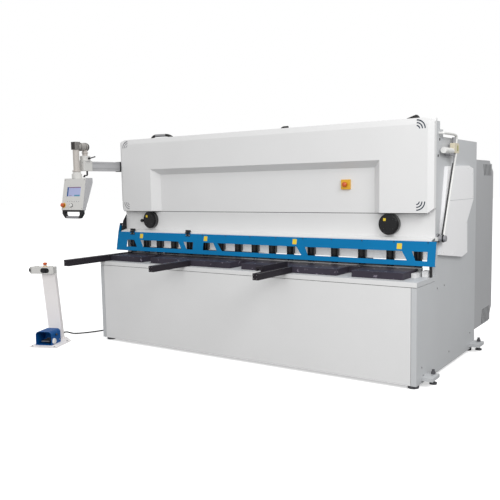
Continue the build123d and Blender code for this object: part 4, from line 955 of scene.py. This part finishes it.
def hydraulic_details():
    work = bmesh.new()
    for x, z in ((-480, 2005), (100, 1960)):
        add_lathe(work, [(0, 0), (34, 0), (34, 12), (28, 20), (0, 20)], at(x, 1150, z), 36)
    piece("tank_caps", work, "black_plastic")
    work = bmesh.new()
    for x in (-190, -100, -10):
        add_lathe(work, [(0, 0), (14, 0), (14, 8), (10, 12), (0, 12)], at(x, 980, 2110), 24)
        add_box(work, (x - 16, x + 16), (1004, 1024), (2066, 2094))
    piece("valve_heads", work, "zinc")
    work = bmesh.new()
    fin = [(123, -2), (134, -2), (134, 2), (123, 2)]
    for degrees in range(135, 435, 15):
        matrix = plane_at(place(530, *MOTOR_AXIS), (0, *on_ring(1, degrees)), (1, 0, 0))
        add_prism(work, fin, matrix @ lifted(-170), 310)
    piece("motor_fins", work, "motor")
    work = bmesh.new()
    for radius in (30, 55, 80, 104):
        add_ring(work, facing(RIGHT, 750, *MOTOR_AXIS), radius, radius + 5, 3, 40)
    piece("motor_grille", work, "black_plastic")
    work, bolts = bmesh.new(), bmesh.new()
    for side in (-1, 1):
        for index in range(8):
            dx, dt = on_ring(101, 22.5 + 45 * index)
            if side * dx < 80:
                bolt = at(side * PRESS_X + dx, PRESS_DEPTH + dt, 1755)
                screw_head(bolts, bolt @ frame_along((0, 0, -1)), 6)
        add_ring(work, at(side * PRESS_X, PRESS_DEPTH, 1424), 56, 82, 6, 40)
    piece("press_bolts", bolts, "zinc")
    piece("press_glands", work, "zinc")


# Hold-downs: lower collars and head screws
HOLD_DOWN_DEPTH = 400
HOLD_DOWN_X = [-1637, -1442, -1253, -1050, -836, -632, -431, -220, -21, 178, 377, 597, 837,
               1101, 1363, 1605]


def hold_down_details():
    work, heads = bmesh.new(), bmesh.new()
    for x in HOLD_DOWN_X:
        add_ring(work, at(x, HOLD_DOWN_DEPTH, 962), 21.5, 33, 3, 32)
        for dx in (-20, 20):
            screw_head(heads, at(x + dx, HOLD_DOWN_DEPTH, 1125), 5)
    piece("hold_down_rings", work, "zinc")
    piece("hold_down_screws", heads, "zinc")


# Pedestal: details of its console, foot switch and base
PEDESTAL_CORNER = (-2151, -661)
PEDESTAL_TURN = math.radians(22)
CONSOLE_U = (-104, 172)
CONSOLE_V = (250, 345)
CONSOLE_Z = (733, 803)
CONSOLE_STOP = (CONSOLE_U[0] + 165, CONSOLE_V[0] + 55)
PALM_HEIGHT = 768


def on_pedestal(u, v, z):
    """Matrix on the pedestal, its X along u, Y along v and Z up."""
    spot = place(*PEDESTAL_CORNER, 0)
    turn = Matrix.Rotation(PEDESTAL_TURN, 4, "Z")
    return Matrix.Translation(spot) @ turn @ Matrix.Translation(Vector((u, v, z)) * MM)


def pedestal_details():
    work = bmesh.new()
    for u in (CONSOLE_U[0] + 62, CONSOLE_U[1] - 55):
        add_plate(work, on_pedestal(u, CONSOLE_V[0] + 62, CONSOLE_Z[1] + 6), 44, 18, 0.6, 8.5)
    piece("console_ovals", work, "black_plastic")
    work = bmesh.new()
    add_ring(work, on_pedestal(*CONSOLE_STOP, CONSOLE_Z[1]), 17.1, 26, 3, 36)
    piece("console_stop_ring", work, "stop_yellow")
    work = bmesh.new()
    for u, v in ((30, 30), (280, 30), (30, 300), (280, 300)):
        screw_head(work, on_pedestal(u, v, 8), 8, "hexagon")
    piece("base_bolts", work, "zinc")
    work = bmesh.new()
    left = on_pedestal(CONSOLE_U[0], CONSOLE_V[0] + 42, PALM_HEIGHT) @ turned(-90, "Y")
    front = on_pedestal(CONSOLE_U[1] - 100, CONSOLE_V[0], PALM_HEIGHT) @ turned(90, "X")
    for matrix in (left, front):
        add_ring(work, matrix, 22.8, 27, 2, 36)
    piece("palm_collars", work, "black_plastic")
    work = bmesh.new()
    for index in range(7):
        add_plate(work, on_pedestal(130, 132 + 17 * index, 46), 76, 6, 1.5, 2)
    piece("pedal_ribs", work, "rubber", "foot_pedal")
    work = bmesh.new()
    for u, degrees in ((40, -90), (220, 90)):
        pin = on_pedestal(u, 245, 40) @ turned(degrees, "Y")
        add_lathe(work, [(0, 0), (6, 0), (6, 3), (0, 4)], pin, 20)
    piece("pedal_pins", work, "zinc")
    side = on_pedestal(220, 128, 46) @ turned(90, "Y")
    work = bmesh.new()
    add_lathe(work, [(0, 0), (30, 0), (30, 10), (24, 18), (0, 20)], side, 36)
    piece("foot_guard_boss", work, "white_plastic")
    work = bmesh.new()
    knob = on_pedestal(220, 176, 104) @ turned(90, "Y")
    add_lathe(work, [(0, 0), (10, 0), (11, 12), (8, 18), (0, 18)], knob, 24)
    # The gloss black oval on the console's front is painted shade: it stands in for the hollow of the hand
    # recess
    oval = rounded_outline(98, 52, 25, 8)
    recess = on_pedestal(84, CONSOLE_V[0] - 0.2, PALM_HEIGHT) @ turned(90, "X")
    add_prism(work, oval, recess, 1.2)
    piece("console_knob_and_recess_shade", work, "gloss_black")


# Back gauge and rear members
GUIDE_X = 900
PIVOT_DEPTH = 1400


def gauge_details():
    work = bmesh.new()
    for x in (-GUIDE_X, GUIDE_X):
        for dx in (-38, 38):
            for t in (862, 978):
                screw_head(work, at(x + dx, t, 860) @ frame_along((0, 0, -1)), 5)
    piece("saddle_screws", work, "black_steel", "back_gauge")
    work = bmesh.new()
    for x in (-GUIDE_X, GUIDE_X):
        add_ring(work, facing(REAR, x, 1490, 1030), 10.5, 20, 4, 32)
    piece("gauge_end_rings", work, "black_steel", "swing_beam")
    work = bmesh.new()
    for x in range(-1500, 1501, 300):
        screw_head(work, facing(REAR, x, 1500, 1790), 9, "hexagon")
        screw_head(work, facing(REAR, x, 1500, 142), 9, "hexagon")
    piece("rear_bolts", work, "zinc")
    work = bmesh.new()
    for side in (-1, 1):
        inward = plane_at(place(side * 1635, PIVOT_DEPTH, TABLE_TOP), (0, 1, 0), (-side, 0, 0))
        add_ring(work, inward, 20, 50, 4, 40)
    piece("shaft_caps", work, "zinc")


frame_fasteners()
corner_arcs()
guard_details()
cap_details()
panel_stop = facing(FRONT, STOP_X, 390, STOP_HEIGHT)
pendant_stop = on_box(PENDANT_STOP_X, BUTTON_HEIGHT, 2.2)
stop_details("panel_stop", panel_stop, "root", "panel_estop", 26, 21)
stop_details("pendant_stop", pendant_stop, "pendant_box", "pendant_estop", 27.8)
stop_details("console_stop", on_pedestal(*CONSOLE_STOP, 819), "root", "pedestal_estop", 24, 21)
pendant_details()
elbow_details()
table_details()
gap_drive()
top_hoses()
head_gap_painted_shadow()
bed_blocks()
cover_details()
cabinet_details()
hydraulic_details()
hold_down_details()
pedestal_details()
gauge_details()


# Stage and light
def make_stage():
    world = bpy.data.worlds.new("world")
    bpy.context.scene.world = world
    world.use_nodes = True
    nodes, links = world.node_tree.nodes, world.node_tree.links
    background = nodes["Background"]
    background.inputs["Color"].default_value = (1, 1, 1, 1)
    background.inputs["Strength"].default_value = 0.7
    white = nodes.new("ShaderNodeBackground")
    white.inputs["Color"].default_value = (1, 1, 1, 1)
    white.inputs["Strength"].default_value = 1
    mix = nodes.new("ShaderNodeMixShader")
    links.new(nodes.new("ShaderNodeLightPath").outputs["Is Camera Ray"], mix.inputs[0])
    links.new(background.outputs[0], mix.inputs[1])
    links.new(white.outputs[0], mix.inputs[2])
    links.new(mix.outputs[0], nodes["World Output"].inputs["Surface"])

    work = bmesh.new()
    bmesh.ops.create_grid(work, x_segments=1, y_segments=1, size=60)
    mesh = bpy.data.meshes.new("floor")
    work.to_mesh(mesh)
    work.free()
    floor = bpy.data.objects.new("floor", mesh)
    bpy.context.scene.collection.objects.link(floor)
    material = bpy.data.materials.new("floor")
    material.use_nodes = True
    nodes, links = material.node_tree.nodes, material.node_tree.links
    nodes.remove(nodes["Principled BSDF"])
    matt = nodes.new("ShaderNodeBsdfDiffuse")
    matt.inputs["Color"].default_value = (1, 1, 1, 1)
    dim = nodes.new("ShaderNodeBsdfDiffuse")
    dim.inputs["Color"].default_value = (0.34, 0.34, 0.34, 1)
    glow = nodes.new("ShaderNodeEmission")
    glow.inputs["Color"].default_value = (1, 1, 1, 1)
    glow.inputs["Strength"].default_value = 0.5
    total = nodes.new("ShaderNodeAddShader")
    links.new(matt.outputs[0], total.inputs[0])
    links.new(glow.outputs[0], total.inputs[1])
    mix = nodes.new("ShaderNodeMixShader")
    links.new(nodes.new("ShaderNodeLightPath").outputs["Is Camera Ray"], mix.inputs[0])
    links.new(dim.outputs[0], mix.inputs[1])
    links.new(total.outputs[0], mix.inputs[2])
    links.new(mix.outputs[0], nodes["Material Output"].inputs["Surface"])
    mesh.materials.append(material)


def area_light(name, spot, target, size, power):
    data = bpy.data.lights.new(name, "AREA")
    data.shape = "SQUARE"
    data.size = size
    data.energy = power
    light = bpy.data.objects.new(name, data)
    bpy.context.scene.collection.objects.link(light)
    light.location = spot
    light.rotation_mode = "QUATERNION"
    light.rotation_quaternion = (Vector(target) - Vector(spot)).to_track_quat("-Z", "Y")


make_stage()
area_light("key", (1.5, -9.0, 4.0), (0.3, 0, 0.9), 5.0, 215)
area_light("side", (5.2, -3.2, 4.4), (1.7, -0.2, 1.3), 2.5, 140)
area_light("top", (0, 0.5, 7.0), (0, 0, 0), 5.0, 90)

bpy.context.scene.view_settings.view_transform = "Standard"
